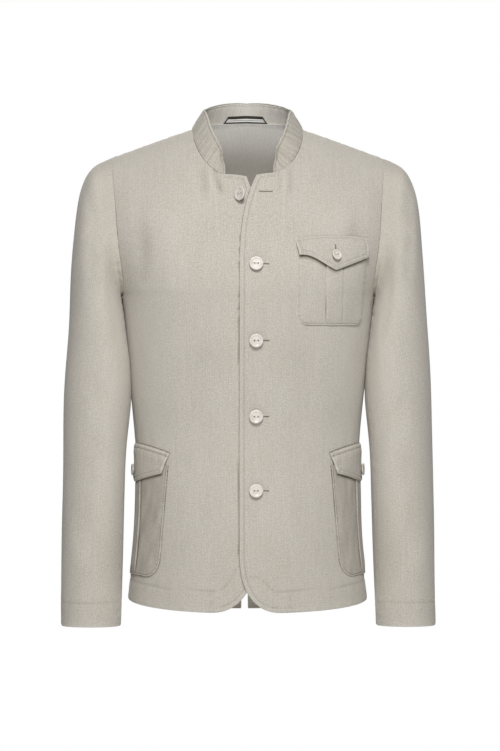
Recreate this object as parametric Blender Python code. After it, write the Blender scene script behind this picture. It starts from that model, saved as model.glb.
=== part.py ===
"""A linen jacket with a stand collar, filled out as it is worn, with nobody in it.

Metres, +Z up. The front faces -Y and +X is the wearer's left. The origin is the middle of
the neck, level with the points where the shoulder seams meet the collar.
"""

import math
from collections import namedtuple

import bmesh
import bpy
import numpy as np
from mathutils import Matrix, Vector

# Cloth
BODY_WALL = 0.0018
SLEEVE_WALL = 0.0016
COLLAR_WALL = 0.0024
PATCH_WALL = 0.0014
FLAP_WALL = 0.0018
SEAM_GAP = 0.0003

# The body is a tube of sections. Rise is measured up the cloth from the chest line: below
# it in plain height, above it along the slope, up to the shoulder seam at UPPER_RISE.
CHEST_Z = -0.240
UPPER_RISE = 0.260
Level = namedtuple("Level", "rise half_width front_depth back_depth square")
LEVELS = (
    # rise, half width, front depth, back depth, how square the section is
    Level(-0.480, 0.1755, 0.1310, 0.1290, 0.62),
    Level(-0.440, 0.1735, 0.1300, 0.1285, 0.62),
    Level(-0.410, 0.1700, 0.1285, 0.1275, 0.62),
    Level(-0.355, 0.1642, 0.1245, 0.1235, 0.62),
    Level(-0.285, 0.1610, 0.1200, 0.1145, 0.62),
    Level(-0.240, 0.1602, 0.1185, 0.1090, 0.62),
    Level(-0.200, 0.1628, 0.1180, 0.1050, 0.62),
    Level(-0.145, 0.1685, 0.1215, 0.1060, 0.64),
    Level(-0.075, 0.1755, 0.1280, 0.1130, 0.66),
    Level(0.000, 0.1845, 0.1325, 0.1190, 0.69),
    Level(0.075, 0.2040, 0.1335, 0.1220, 0.71),
    Level(0.150, 0.2150, 0.1335, 0.1230, 0.71),
    Level(0.260, 0.2260, 0.1335, 0.1230, 0.71),
)
FRONT_ROOF = 1.6
BACK_ROOF = 2.2

# Shoulders and neck
NECK_X = 0.081
SHOULDER_X = 0.2020
SHOULDER_SLOPE = 0.378
RIDGE_SOFTNESS = 0.040
RIDGE_Y = 0.016
RIDGE_FORWARD = 0.060
COLLAR_END_X = 0.0345
COLLAR_END_Z = -0.0680
NECK_ROUNDNESS = 1.75
BACK_NECK_RISE = 0.2165
NECK_STEPS = (0.0, 0.06, 0.14, 0.28, 0.46, 0.64, 0.82, 1.0)

# Armhole, a U in girth and rise
ARMHOLE_BOTTOM = -0.0070
ARMHOLE_REACH = 0.340
ARMHOLE_SQUARE = 3.0
SEAM_GIRTH = 1.24
SEAM_SWING = 0.160

# Hem, front edges and back vent
HEM_SIDE_Z = -0.6795
HEM_FRONT_DROP = 0.0145
HEM_FRONT_ROUND = 1.2
HEM_BACK_DROP = 0.0215
HEM_BACK_ROUND = 2.0
CORNER_SQUARE = 2.4
VENT_TOP_Z = -0.480
VENT_HALF_GAP = 0.0056
VENT_POWER = 0.7
LAP_LIFT = 0.0026
LAP_FROM_X = 0.085
LAP_TO_X = 0.034
FrontEdge = namedtuple("FrontEdge", "side past_centre corner_x corner_z top_x top_z open_z open_power lift")
FRONT_EDGES = {
    # side, past the centre, corner across, corner up, top corner x and z, opening from, its power, lift
    "front_left": FrontEdge(1, 0.0152, 0.0600, 0.083, 0.0103, -0.0710, -0.228, 3.0, LAP_LIFT),
    "front_right": FrontEdge(-1, 0.0230, 0.0810, 0.165, 0.0047, -0.0715, -0.228, 2.2, 0.0),
}
CHEST_ROW_Z = -0.255

# Panel grids
SIDE_ROWS = 12
ARM_ROWS = 12
EDGE_COLUMNS = 2
SHOULDER_COLUMNS = 7
DENSE = 160
SMALL_STEP = 0.0001
HALVINGS = 40
TURNED = (0, 3, 2, 1)
SHARP_ANGLE = math.radians(40)

# Sleeve rings, each from its outer to its inner point, hanging just clear of the body
SIDE_GIRTHS = (0.5, 1.5)
SLEEVE_CLEAR = 0.0006
SLEEVE_GAP = 0.0014
SLEEVE_ROWS = 15
FRONT_ARM_SEAM = 156.0
BACK_ARM_SEAM = 250.0
Ring = namedtuple("Ring", "x_out z_out x_in z_in y_mid half_depth")
SLEEVE_RINGS = (
    # outer x and z, inner x and z, middle y, half depth
    Ring(0.2248, -0.0565, 0.1870, -0.2540, 0.002, 0.0655),
    Ring(0.2395, -0.0810, 0.1855, -0.2640, -0.001, 0.0670),
    Ring(0.2477, -0.1200, 0.0, -0.2800, -0.007, 0.0680),
    Ring(0.2533, -0.1850, 0.0, -0.3050, -0.013, 0.0665),
    Ring(0.2584, -0.2600, 0.0, -0.3400, -0.018, 0.0630),
    Ring(0.2637, -0.3550, 0.1695, -0.3900, -0.021, 0.0580),
    Ring(0.2668, -0.4500, 0.1755, -0.4600, -0.023, 0.0545),
    Ring(0.2680, -0.5300, 0.1780, -0.5350, -0.026, 0.0520),
    Ring(0.2690, -0.6250, 0.1810, -0.6260, -0.034, 0.0470),
    Ring(0.2697, -0.7158, 0.1835, -0.7158, -0.045, 0.0430),
)

# Collar, by share of the way from its front end to the centre back
CollarPlace = namedtuple("CollarPlace", "share height lean")
COLLAR_PLACES = (
    # share, height of the band, degrees that it leans in
    CollarPlace(0.00, 0.0300, 38.0),
    CollarPlace(0.30, 0.0325, 37.0),
    CollarPlace(0.58, 0.0352, 34.0),
    CollarPlace(0.80, 0.0352, 24.0),
    CollarPlace(1.00, 0.0287, 8.0),
)
COLLAR_END_HEIGHT = 0.0130
COLLAR_END_ROUND = 0.0200
COLLAR_END_POWER = 1.6
COLLAR_SQUARE_BY = 0.0750
COLLAR_ROWS = 3
COLLAR_GAP = 0.0006

# Facing inside the back neck, and the ribbon that the jacket hangs by
FACING_WALL = 0.0012
FACING_OFF = 0.0006
FACING_ROWS = 6
FACING_COLUMNS = 10
FACING_HANG = math.radians(24)
FACING_EASE = 0.25
LOOP_HALF_TOP = 0.0250
LOOP_HALF_BOTTOM = 0.0325
LOOP_LOW = 0.0020
LOOP_HIGH = 0.0130
LOOP_WALL = 0.0010
LOOP_STAND = 0.0016
LOOP_OFF = 0.0006
LOOP_COLUMNS = 8
LOOP_ROWS = 2

# Patch pockets: centre line by girth length from the centre front, at the top and bottom
PATCH_OFF = 0.0012
PLEAT_RAISE = 0.0013
PLEAT_STEP = 0.0030
FLAP_OFF = 0.0009
FLAP_CLEAR = 0.0038
FLAP_CLEAR_BY = 0.014
Pocket = namedtuple(
    "Pocket",
    "top_rise bottom_rise tilt arch top_centre bottom_centre half_top half_bottom corner pleat_half "
    "pleat_shift columns rows",
)
POCKETS = {
    # top and bottom rise, slope of the top, fall to the corners, centre at top and bottom, half widths,
    # corner, pleat's half width and shift, grid
    "chest_pocket": Pocket(0.060, -0.0455, 0.125, 0.0, 0.1215, 0.1228, 0.0555, 0.0565, 0.013, 0.0120, -0.001, 13, 8),
    "lower_pocket": Pocket(-0.240, -0.403, 0.0, 0.006, 0.2020, 0.2140, 0.0800, 0.0745, 0.028, 0.0130, -0.0085, 16, 9),
}
POCKET_ROW_POWER = 1.8
Flap = namedtuple(
    "Flap",
    "rise tilt low_tilt arch top_centre bottom_centre half_top half_bottom side_drop point_drop button_drop "
    "button_radius columns rows",
)
FLAPS = {
    # top rise, slopes of the top and the lower edge, fall of the top, centre at top and bottom, half widths,
    # drops of the sides, the point and the button, radius of the button, grid
    "chest_flap": Flap(
        0.0755, -0.125, -0.055, 0.0, 0.1190, 0.1223, 0.0550, 0.0528, 0.0222, 0.0395, 0.0235, 0.0080, 12, 5
    ),
    "lower_flap": Flap(
        -0.2140, 0.0, 0.0, 0.013, 0.2020, 0.2040, 0.0825, 0.0725, 0.0295, 0.0560, 0.0385, 0.0088, 14, 5
    ),
}

# Buttons, with the thread shank that each one stands on
BUTTON_SIDES = 14
ButtonRing = namedtuple("ButtonRing", "across up")
BUTTON_RINGS = (
    # shares of the radius and of the thickness, from the dished middle out over the rim to the back
    ButtonRing(0.0, 0.72),
    ButtonRing(0.55, 0.72),
    ButtonRing(0.74, 1.0),
    ButtonRing(0.92, 0.92),
    ButtonRing(1.0, 0.55),
    ButtonRing(0.86, 0.0),
)
SHANK_RADIUS = 0.0017
SHANK = 0.0014
BUTTON_GAP = 0.0004
BUTTON_MERGE = 0.00001
BUTTON_LINE_X = 0.0078
BUTTON_RADIUS = 0.0100
BUTTON_THICK = 0.0034
SMALL_THICK = 0.0028
FRONT_BUTTON_Z = (-0.1990, -0.3070, -0.4150, -0.5210)
TOP_BUTTON_X = -0.0132
TOP_BUTTON_Z = -0.1010
TOP_BUTTON_TURN = 48.0
TOP_BUTTON_OUT = 0.0078
TOP_BUTTON_DIP = -0.14

LINEN_ROUGHNESS = 0.9
SHELL_ROUGHNESS = 0.35
LINEN = (0.560, 0.520, 0.460)
LINEN_INSIDE = (0.500, 0.465, 0.410)
SHELL = (0.760, 0.720, 0.650)
RIBBON = (0.110, 0.105, 0.080)


def spline(knots, values, at):
    """Smooth curve through the values: a cubic on each span, with slopes from the neighbours."""
    knots, values = np.asarray(knots, float), np.asarray(values, float)
    slopes = np.gradient(values, knots, axis=0)
    at = np.clip(at, knots[0], knots[-1])
    low = np.clip(np.searchsorted(knots, at, side="right") - 1, 0, len(knots) - 2)
    width = knots[low + 1] - knots[low]
    t = (at - knots[low]) / width
    shape = t.shape + (1,) * (values.ndim - 1)
    t, width = t.reshape(shape), width.reshape(shape)
    return (
        values[low] * (1 + 2 * t) * (1 - t) ** 2
        + values[low + 1] * t * t * (3 - 2 * t)
        + slopes[low] * width * t * (1 - t) ** 2
        - slopes[low + 1] * width * t * t * (1 - t)
    )


def column(rows, name, at):
    """One column of a table, read smoothly at any value of the table's first column."""
    return spline([row[0] for row in rows], [getattr(row, name) for row in rows], np.asarray(at, float))


def smooth_step(low, high, at):
    t = np.clip((at - low) / (high - low), 0, 1)
    return t * t * (3 - 2 * t)


def quarter(turn, square):
    """Share of the half width reached at a share of the quarter turn, as a cubic arc."""
    left = 1 - turn
    return 3 * left * left * turn * square + 3 * left * turn * turn + turn**3


def shoulder_z(x):
    flat = math.hypot(NECK_X, RIDGE_SOFTNESS)
    return -SHOULDER_SLOPE * (np.hypot(x, RIDGE_SOFTNESS) - flat)


def body(girth, rise):
    """Outer cloth at a girth (0 centre front, 1 side, 2 centre back, minus on the right) and rise."""
    girth, rise = np.broadcast_arrays(np.asarray(girth, float), np.asarray(rise, float))
    girth = (girth + 2) % 4 - 2
    turn = np.abs(girth)
    front = turn <= 1
    square = column(LEVELS, "square", rise)
    x = column(LEVELS, "half_width", rise) * quarter(np.where(front, turn, 2 - turn), square)
    depth = np.where(front, -column(LEVELS, "front_depth", rise), column(LEVELS, "back_depth", rise))
    depth = depth * quarter(np.abs(1 - turn), square)
    angle = (1 - np.clip(rise / UPPER_RISE, 0, 1)) * math.pi / 2
    power = 2 / np.where(front, FRONT_ROOF, BACK_ROOF)
    over = np.sin(angle) ** power
    up = np.clip(np.cos(angle), 0, 1) ** power
    z = CHEST_Z + np.where(rise > 0, (shoulder_z(x) - CHEST_Z) * up, rise)
    y = (RIDGE_Y - RIDGE_FORWARD * x) * (1 - over) + depth * over
    return np.stack([np.sign(girth) * x, y, z], -1)


def body_normal(girth, rise):
    rise = np.clip(rise, -1, UPPER_RISE - 2 * SMALL_STEP)
    across = body(girth + SMALL_STEP, rise) - body(girth - SMALL_STEP, rise)
    along = body(girth, rise + SMALL_STEP) - body(girth, rise - SMALL_STEP)
    normal = np.cross(across, along)
    return normal / np.linalg.norm(normal, axis=-1, keepdims=True)


def skin(girth, rise, out):
    """The body's cloth moved out along its own normal."""
    return body(girth, rise) + np.asarray(out)[..., None] * body_normal(girth, rise)


def locate(x, z):
    """Girth and rise of the front's point that is seen from the front at x and z."""
    x, z = np.broadcast_arrays(np.asarray(x, float), np.asarray(z, float))
    up = np.clip((z - CHEST_Z) / (shoulder_z(x) - CHEST_Z), 0, 1)
    climb = UPPER_RISE * (1 - np.arccos(up ** (FRONT_ROOF / 2)) / (math.pi / 2))
    rise = np.where(z > CHEST_Z, climb, z - CHEST_Z)
    share = np.abs(x) / column(LEVELS, "half_width", rise)
    low, high = np.zeros_like(share), np.ones_like(share)
    for _ in range(HALVINGS):
        middle = (low + high) / 2
        under = quarter(middle, column(LEVELS, "square", rise)) < share
        low, high = np.where(under, middle, low), np.where(under, high, middle)
    return np.sign(x) * low, rise


def spread(curve, steps):
    """Points of a dense (girth, rise) curve at even or given shares of its real length."""
    shares = np.linspace(0, 1, steps + 1) if isinstance(steps, int) else np.asarray(steps)
    points = body(curve[:, 0], curve[:, 1])
    length = np.concatenate([[0], np.cumsum(np.linalg.norm(np.diff(points, axis=0), axis=1))])
    at = shares * length[-1]
    return np.stack([np.interp(at, length, curve[:, i]) for i in (0, 1)], -1)


def joined(*curves):
    """Curves end to end, with each shared point once."""
    return np.concatenate([curves[0]] + [curve[1:] for curve in curves[1:]])


def fill(bottom, right, top, left):
    """Grid between four edges: each point is the edges' blend less the corners' blend."""
    u = np.linspace(0, 1, len(bottom))[None, :, None]
    v = np.linspace(0, 1, len(left))[:, None, None]
    edges = (1 - v) * bottom[None] + v * top[None] + (1 - u) * left[:, None] + u * right[:, None]
    corners = (
        (1 - u) * (1 - v) * bottom[0]
        + u * (1 - v) * bottom[-1]
        + (1 - u) * v * top[0]
        + u * v * top[-1]
    )
    return edges - corners


def hem_rise(girth):
    towards = np.abs(np.cos(girth * math.pi / 2))
    front = HEM_FRONT_DROP * towards**HEM_FRONT_ROUND
    back = HEM_BACK_DROP * towards**HEM_BACK_ROUND
    return HEM_SIDE_Z - CHEST_Z - np.where(np.abs(girth) < 1, front, back)


def armhole(back):
    """Half of the armhole's U, from its bottom up to the shoulder seam."""
    angle = np.linspace(0, math.pi / 2, ARM_ROWS * DENSE)
    power = 2 / ARMHOLE_SQUARE
    reach = ARMHOLE_REACH * np.sin(angle) ** power
    rise = ARMHOLE_BOTTOM + (UPPER_RISE - ARMHOLE_BOTTOM) * (1 - np.clip(np.cos(angle), 0, 1) ** power)
    return np.stack([1 + reach if back else 1 - reach, rise], -1)


def side_seam():
    """From the hem up to the bottom of the armhole, swinging forward under the arm."""
    rise = np.linspace(hem_rise(np.array(SEAM_GIRTH)), ARMHOLE_BOTTOM, DENSE)
    swing = smooth_step(ARMHOLE_BOTTOM, ARMHOLE_BOTTOM - SEAM_SWING, rise)
    return np.stack([1 + (SEAM_GIRTH - 1) * swing, rise], -1)


def shoulder_seam(back):
    """From the neck out to the shoulder tip, along the ridge."""
    x = np.linspace(NECK_X, SHOULDER_X, DENSE)
    girth, _ = locate(x, shoulder_z(x))
    start, stop = girth[0], 1 - ARMHOLE_REACH
    girth = start + (girth - start) * (stop - start) / (girth[-1] - start)
    return np.stack([2 - girth if back else girth, np.full(DENSE, UPPER_RISE)], -1)


def front_neck():
    """Neck seam of the front, from the collar's end up to the shoulder seam."""
    angle = np.linspace(0, math.pi / 2, DENSE)
    power = 2 / NECK_ROUNDNESS
    x = COLLAR_END_X + (NECK_X - COLLAR_END_X) * np.sin(angle) ** power
    z = COLLAR_END_Z * np.clip(np.cos(angle), 0, 1) ** power
    return np.stack(locate(x, z), -1)


def back_neck():
    """Neck seam of the back, from the centre back round to the shoulder seam."""
    end = shoulder_seam(back=True)[0]
    angle = np.linspace(0, math.pi / 2, DENSE)
    girth = 2 + (end[0] - 2) * np.sin(angle)
    return np.stack([girth, end[1] + (BACK_NECK_RISE - end[1]) * np.cos(angle)], -1)


def front_grid(edge):
    """Girth and rise of a front panel, in its own side's terms, with its rounded lower corner."""
    centre = edge.corner_x - edge.past_centre
    foot, _ = locate(centre, HEM_SIDE_Z - HEM_FRONT_DROP)
    corner_low = CHEST_Z + hem_rise(foot)
    power = 2 / CORNER_SQUARE
    angle = np.linspace(0, math.pi / 2, DENSE)
    corner_x = centre - edge.corner_x * np.cos(angle).clip(0) ** power
    corner_z = corner_low + edge.corner_z * (1 - np.sin(angle) ** power)
    corner = np.stack(locate(corner_x, corner_z), -1)
    edge_z = np.linspace(corner_low + edge.corner_z, edge.top_z, 2 * DENSE)
    opening = np.clip((edge_z - edge.open_z) / (edge.top_z - edge.open_z), 0, 1) ** edge.open_power
    edge_x = -edge.past_centre + (edge.top_x + edge.past_centre) * opening
    straight = np.stack(locate(edge_x, edge_z), -1)
    middle = DENSE // 2
    upright = joined(corner[: middle + 1][::-1], straight)
    chest = np.searchsorted(upright[:, 1], CHEST_ROW_Z - CHEST_Z)
    left = joined(spread(upright[: chest + 1], SIDE_ROWS), spread(upright[chest:], ARM_ROWS))
    hem_girth = np.linspace(foot, SEAM_GIRTH, DENSE)
    hem = np.stack([hem_girth, hem_rise(hem_girth)], -1)
    neck = front_neck()
    top_edge = np.linspace(upright[-1], neck[0], DENSE)
    top = joined(
        spread(top_edge, EDGE_COLUMNS),
        spread(neck, NECK_STEPS),
        spread(shoulder_seam(back=False), SHOULDER_COLUMNS),
    )
    bottom = spread(joined(corner[middle:], hem), len(top) - 1)
    right = joined(spread(side_seam(), SIDE_ROWS), spread(armhole(back=False), ARM_ROWS))
    return fill(bottom, right, top, left)


def back_grid():
    """Girth and rise of a back panel, from the side seam to the centre back, which parts at the vent."""
    rise = np.linspace(hem_rise(np.array(2.0)), BACK_NECK_RISE, DENSE)
    vent = np.clip((VENT_TOP_Z - CHEST_Z - rise) / (VENT_TOP_Z - CHEST_Z - rise[0]), 0, 1)
    gap = SEAM_GAP / 2 + VENT_HALF_GAP * vent**VENT_POWER
    speed = 3 * column(LEVELS, "square", rise) * column(LEVELS, "half_width", rise)
    centre = np.stack([2 - gap / speed, rise], -1)
    chest = np.searchsorted(rise, CHEST_ROW_Z - CHEST_Z)
    right = joined(spread(centre[: chest + 1], SIDE_ROWS), spread(centre[chest:], ARM_ROWS))
    neck = back_neck()[::-1]
    neck[-1] = centre[-1]
    shoulder = spread(shoulder_seam(back=True), SHOULDER_COLUMNS)[::-1]
    top = joined(shoulder, spread(neck, [1 - step for step in NECK_STEPS[::-1]]))
    hem_girth = np.linspace(SEAM_GIRTH, centre[0, 0], DENSE)
    bottom = spread(np.stack([hem_girth, hem_rise(hem_girth)], -1), len(top) - 1)
    bottom[-1] = centre[0]
    left = joined(spread(side_seam(), SIDE_ROWS), spread(armhole(back=True), ARM_ROWS))
    return fill(bottom, right, top, left)


def drawn_back(points, sides):
    """A grid with the named edges moved half a seam gap towards the next row or column."""
    points = points.copy()
    edges = {
        "left": (points[:, 0], points[:, 1]),
        "right": (points[:, -1], points[:, -2]),
        "bottom": (points[0], points[1]),
        "top": (points[-1], points[-2]),
    }
    for side in sides:
        edge, inner = edges[side]
        step = inner - edge
        edge += SEAM_GAP / 2 * step / np.linalg.norm(step, axis=-1, keepdims=True)
    return points


def finish(name, colour, roughness):
    material = bpy.data.materials.new(name)
    material.use_nodes = True
    shader = material.node_tree.nodes["Principled BSDF"]
    shader.inputs["Base Color"].default_value = (*colour, 1)
    shader.inputs["Roughness"].default_value = roughness
    shader.inputs["Metallic"].default_value = 0
    return material


def cloth(name, outer, inner, colour=LINEN, mirrored=False):
    """A cloth piece: its outer points as one sheet of faces, its inner ones as another, closed by a rim."""
    rows, columns = outer.shape[:2]
    index = np.arange(rows * columns).reshape(rows, columns)
    under = index + rows * columns
    loop = np.concatenate([index[0, :-1], index[:-1, -1], index[-1, :0:-1], index[:0:-1, 0]])
    corners = [index[:-1, :-1], index[:-1, 1:], index[1:, 1:], index[1:, :-1]]
    sheet = np.stack([corner.ravel() for corner in corners], -1)
    after = np.roll(loop, -1)
    rim = np.stack([after, loop, under.ravel()[loop], under.ravel()[after]], -1)
    far_side = rows + columns - 2
    rim[far_side:] = np.roll(rim[far_side:], -1, axis=1)
    faces = np.concatenate([sheet, under.ravel()[sheet][:, TURNED], rim])
    points = np.concatenate([outer.reshape(-1, 3), inner.reshape(-1, 3)])
    if mirrored:
        points, faces = points * (-1, 1, 1), faces[:, TURNED]
    mesh = bpy.data.meshes.new(name)
    build = bmesh.new()
    verts = [build.verts.new(point) for point in points]
    for face in faces:
        build.faces.new([verts[place] for place in face])
    build.to_mesh(mesh)
    build.free()
    mesh.shade_smooth()
    mesh.set_sharp_from_angle(angle=SHARP_ANGLE)
    mesh.materials.append(finish(name, colour, LINEN_ROUGHNESS))
    piece = bpy.data.objects.new(name, mesh)
    bpy.context.collection.objects.link(piece)
    piece.parent = jacket


def make_fronts():
    for name, edge in FRONT_EDGES.items():
        girth, rise = np.moveaxis(front_grid(edge), -1, 0)
        lift = edge.lift * smooth_step(LAP_FROM_X, LAP_TO_X, body(girth, rise)[..., 0])
        walls = []
        for depth in (0, BODY_WALL):
            walls.append(drawn_back(skin(girth, rise, lift - depth), ("right", "top")))
        cloth(name, *walls, mirrored=edge.side < 0)


def make_backs():
    girth, rise = np.moveaxis(back_grid(), -1, 0)
    walls = []
    for depth in (0, BODY_WALL):
        walls.append(drawn_back(skin(girth, rise, np.full(girth.shape, -depth)), ("left", "top")))
    cloth("back_left", *walls)
    cloth("back_right", *walls, mirrored=True)


def sleeve_columns():
    """The armhole's points from the shoulder tip down the front and up the back, and their angles."""
    front, back = (spread(armhole(back), ARM_ROWS) for back in (False, True))
    loop = joined(front[::-1], back)
    points = body(loop[:, 0], loop[:, 1])
    bottom = np.argmin(points[:, 2])
    length = np.concatenate([[0], np.cumsum(np.linalg.norm(np.diff(points, axis=0), axis=1))])
    angle = np.interp(length, [0, length[bottom], length[-1]], [0, 180, 360])
    return points, angle


def sleeve_grid():
    """Rings from the armhole to the cuff, a row for each step down, a column for each armhole point."""
    loop, angle = sleeve_columns()
    turn = np.radians(angle)[:, None]
    rings = [loop + (SLEEVE_GAP, 0, 0)]
    for ring in SLEEVE_RINGS:
        x_in = ring.x_in
        if ring.z_in > HEM_SIDE_Z:
            side = body(np.linspace(*SIDE_GIRTHS, DENSE), ring.z_in - CHEST_Z)
            x_in = max(x_in, np.interp(ring.y_mid, side[:, 1], side[:, 0]) + SLEEVE_CLEAR)
        outer = np.array([ring.x_out, ring.y_mid, ring.z_out])
        inner = np.array([x_in, ring.y_mid, ring.z_in])
        deep = np.array([0, -ring.half_depth, 0])
        rings.append((outer + inner) / 2 + (outer - inner) / 2 * np.cos(turn) + deep * np.sin(turn))
    at = np.linspace(0, len(rings) - 1, SLEEVE_ROWS + 1)
    return spline(np.arange(len(rings)), np.array(rings), at), angle


def grid_normals(points):
    """Outward directions on a sleeve's grid, from its rows' and columns' steps."""
    around = np.gradient(np.concatenate([points[:, -2:-1], points, points[:, 1:2]], axis=1), axis=1)[:, 1:-1]
    normals = np.cross(around, np.gradient(points, axis=0))
    return normals / np.linalg.norm(normals, axis=-1, keepdims=True)


def make_sleeves():
    outer, angle = sleeve_grid()
    front, back = np.searchsorted(angle, (FRONT_ARM_SEAM, BACK_ARM_SEAM))
    under, upper = [], []
    for points in (outer, outer - SLEEVE_WALL * grid_normals(outer)):
        around = np.concatenate([points[:, back:], points[:, 1 : front + 1]], axis=1)
        upper.append(drawn_back(around[::-1, ::-1], ("left", "right")))
        under.append(drawn_back(points[::-1, front : back + 1][:, ::-1], ("left", "right")))
    for side, mirrored in (("left", False), ("right", True)):
        cloth(f"sleeve_{side}_upper", *upper, mirrored=mirrored)
        cloth(f"sleeve_{side}_under", *under, mirrored=mirrored)


def collar_frame():
    """Base of the collar from its left end round to its right, with its directions, heights and leans."""
    front, back = spread(front_neck(), NECK_STEPS), spread(back_neck(), NECK_STEPS)
    half = joined(front, back[::-1])
    half = body(half[:, 0], half[:, 1])
    base = joined(half, half[::-1] * (-1, 1, 1))
    along = np.gradient(base, axis=0)
    along /= np.linalg.norm(along, axis=1, keepdims=True)
    inward = np.stack([-along[:, 1], along[:, 0], np.zeros(len(base))], -1)
    inward /= np.linalg.norm(inward, axis=1, keepdims=True)
    upright = np.cross(along, inward)
    length = np.concatenate([[0], np.cumsum(np.linalg.norm(np.diff(base, axis=0), axis=1))])
    share = 1 - np.abs(2 * length / length[-1] - 1)
    lean = np.radians(column(COLLAR_PLACES, "lean", share))[:, None]
    band = np.cos(lean) * upright + np.sin(lean) * inward
    from_end = share * length[-1] / 2
    squared = -band[0, 0] / along[0, 0] * smooth_step(COLLAR_SQUARE_BY, 0, from_end)
    band += along * (squared * np.sign(length[-1] / 2 - length))[:, None]
    from_end = np.clip(from_end / COLLAR_END_ROUND, 0, 1)
    full = column(COLLAR_PLACES, "height", share)
    rounded = (1 - (1 - from_end) ** COLLAR_END_POWER) ** (1 / COLLAR_END_POWER)
    height = COLLAR_END_HEIGHT + (full - COLLAR_END_HEIGHT) * rounded
    outward = np.cos(lean) * -inward + np.sin(lean) * upright
    return base + (0, 0, COLLAR_GAP), band, outward, height, np.tan(lean[:, 0])


def make_collar():
    base, band, outward, height, level_cut = collar_frame()
    shares = np.linspace(0, 1, COLLAR_ROWS + 1)[:, None, None]
    outer = base + band * height[:, None] * shares
    inner = outer - COLLAR_WALL * outward
    inner[0] += band * (COLLAR_WALL * level_cut)[:, None]
    cloth("collar", outer, inner)


def make_back_neck_facing():
    """A curved facing that hangs from the neck seam, more upright than the back panels that it follows
    lower down: each point's depth is the lesser of the panel's and the hanging line's, eased together."""
    half = back_grid()[-FACING_ROWS - 1 :, -FACING_COLUMNS - 1 :]
    middle = half[:, -1:] * (0, 1) + (2, 0)
    grid = np.concatenate([half[:, :-1], middle, half[:, -2::-1] * (-1, 1) + (4, 0)], axis=1)
    girth, rise = np.moveaxis(grid, -1, 0)
    points = skin(girth, rise, np.full(girth.shape, -BODY_WALL - FACING_OFF))
    drop = np.maximum(points[-1, :, 2] - points[..., 2], 0)
    hang, ease = points[-1, :, 1] + math.tan(FACING_HANG) * drop, FACING_EASE * drop
    points[..., 1] = (points[..., 1] + hang - np.hypot(points[..., 1] - hang, ease)) / 2
    way = np.cross(np.gradient(points, axis=1), np.gradient(points, axis=0))
    way /= np.linalg.norm(way, axis=-1, keepdims=True)
    walls = [drawn_back(points - depth * way, ("top",)) for depth in (0, FACING_WALL)]
    cloth("back_neck_facing", *walls, LINEN_INSIDE)


def make_hanger_loop():
    """A ribbon in a shallow trapezoid on the inside of the collar's back, standing off in the middle."""
    span = len(NECK_STEPS) - 1
    base, band, outward = (part[span:-span][::-1] for part in collar_frame()[:3])
    shares = np.linspace(-1, 1, LOOP_COLUMNS + 1)
    back, front = [], []
    for high in np.linspace(0, 1, LOOP_ROWS + 1):
        half = LOOP_HALF_BOTTOM + (LOOP_HALF_TOP - LOOP_HALF_BOTTOM) * high
        near = [np.stack([np.interp(shares * half, base[:, 0], part[:, i]) for i in range(3)], -1)
                for part in (base, band, outward)]
        stand = LOOP_OFF + COLLAR_WALL + LOOP_STAND * np.cos(shares * math.pi / 2) * high
        row = near[0] + near[1] * (LOOP_LOW + (LOOP_HIGH - LOOP_LOW) * high)
        back.append(row - near[2] * stand[:, None])
        front.append(row - near[2] * (stand + LOOP_WALL)[:, None])
    cloth("hanger_loop", np.array(front), np.array(back), RIBBON)


def girth_at(length, rise):
    """Girth reached by going this far round the cloth from the centre front, at each point's rise."""
    grid = np.linspace(0, 2, 2 * DENSE)
    found = np.empty(length.size)
    for place, (far, height) in enumerate(zip(length.ravel(), rise.ravel())):
        steps = np.linalg.norm(np.diff(body(grid, height), axis=0), axis=1)
        found[place] = np.interp(far, np.concatenate([[0], np.cumsum(steps)]), grid)
    return found.reshape(length.shape)


def placed(name):
    """Node names and sides of a pocket's piece: the chest has one on the left, the skirt one on each side."""
    if name.startswith("chest"):
        return [(name, 1)]
    return [(f"{name}_left", 1), (f"{name}_right", -1)]


def make_pockets():
    """Patch pockets: rounded lower corners, and a box pleat that stands out down the middle."""
    for name, pocket in POCKETS.items():
        height = pocket.top_rise - pocket.bottom_rise
        share = np.linspace(0, 1, pocket.rows + 1)[:, None] ** POCKET_ROW_POWER
        centre = pocket.bottom_centre + (pocket.top_centre - pocket.bottom_centre) * share
        half = pocket.half_bottom + (pocket.half_top - pocket.half_bottom) * share
        into = np.clip(1 - height * share / pocket.corner, 0, 1)
        half = half - pocket.corner * (1 - np.sqrt(1 - into**2))
        across = np.linspace(-1, 1, pocket.columns + 1)[None, :] * half
        rise = pocket.bottom_rise + (height + pocket.tilt * across) * share
        rise = rise - pocket.arch * (across / pocket.half_top) ** 2
        girth = girth_at(centre + across, rise)
        from_pleat = np.abs(across - pocket.pleat_shift) - pocket.pleat_half
        pleat = smooth_step(PLEAT_STEP, -PLEAT_STEP, from_pleat)
        out = PATCH_OFF + PATCH_WALL + PLEAT_RAISE * pleat
        walls = [skin(girth, rise, out - depth) for depth in (0, PATCH_WALL)]
        for node, side in placed(name):
            cloth(node, *walls, mirrored=side < 0)


def flap_points(flap):
    """A pocket flap with a straight top and a lower edge that falls to a point, clear of its pocket."""
    across = np.linspace(-1, 1, flap.columns + 1)[None, :]
    down = np.linspace(1, 0, flap.rows + 1)[:, None]
    half = flap.half_top + (flap.half_bottom - flap.half_top) * down
    top = flap.tilt * across * half + flap.arch * across**2
    side_drop = flap.side_drop + flap.arch
    low = flap.low_tilt * across * half + side_drop + (flap.point_drop - side_drop) * (1 - np.abs(across))
    rise = flap.rise - top + (top - low) * down
    centre = flap.top_centre + (flap.bottom_centre - flap.top_centre) * down
    girth = girth_at(centre + across * half, rise)
    out = FLAP_OFF + FLAP_WALL + FLAP_CLEAR * smooth_step(0, FLAP_CLEAR_BY, (low - top) * down)
    return girth, rise, out


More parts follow.
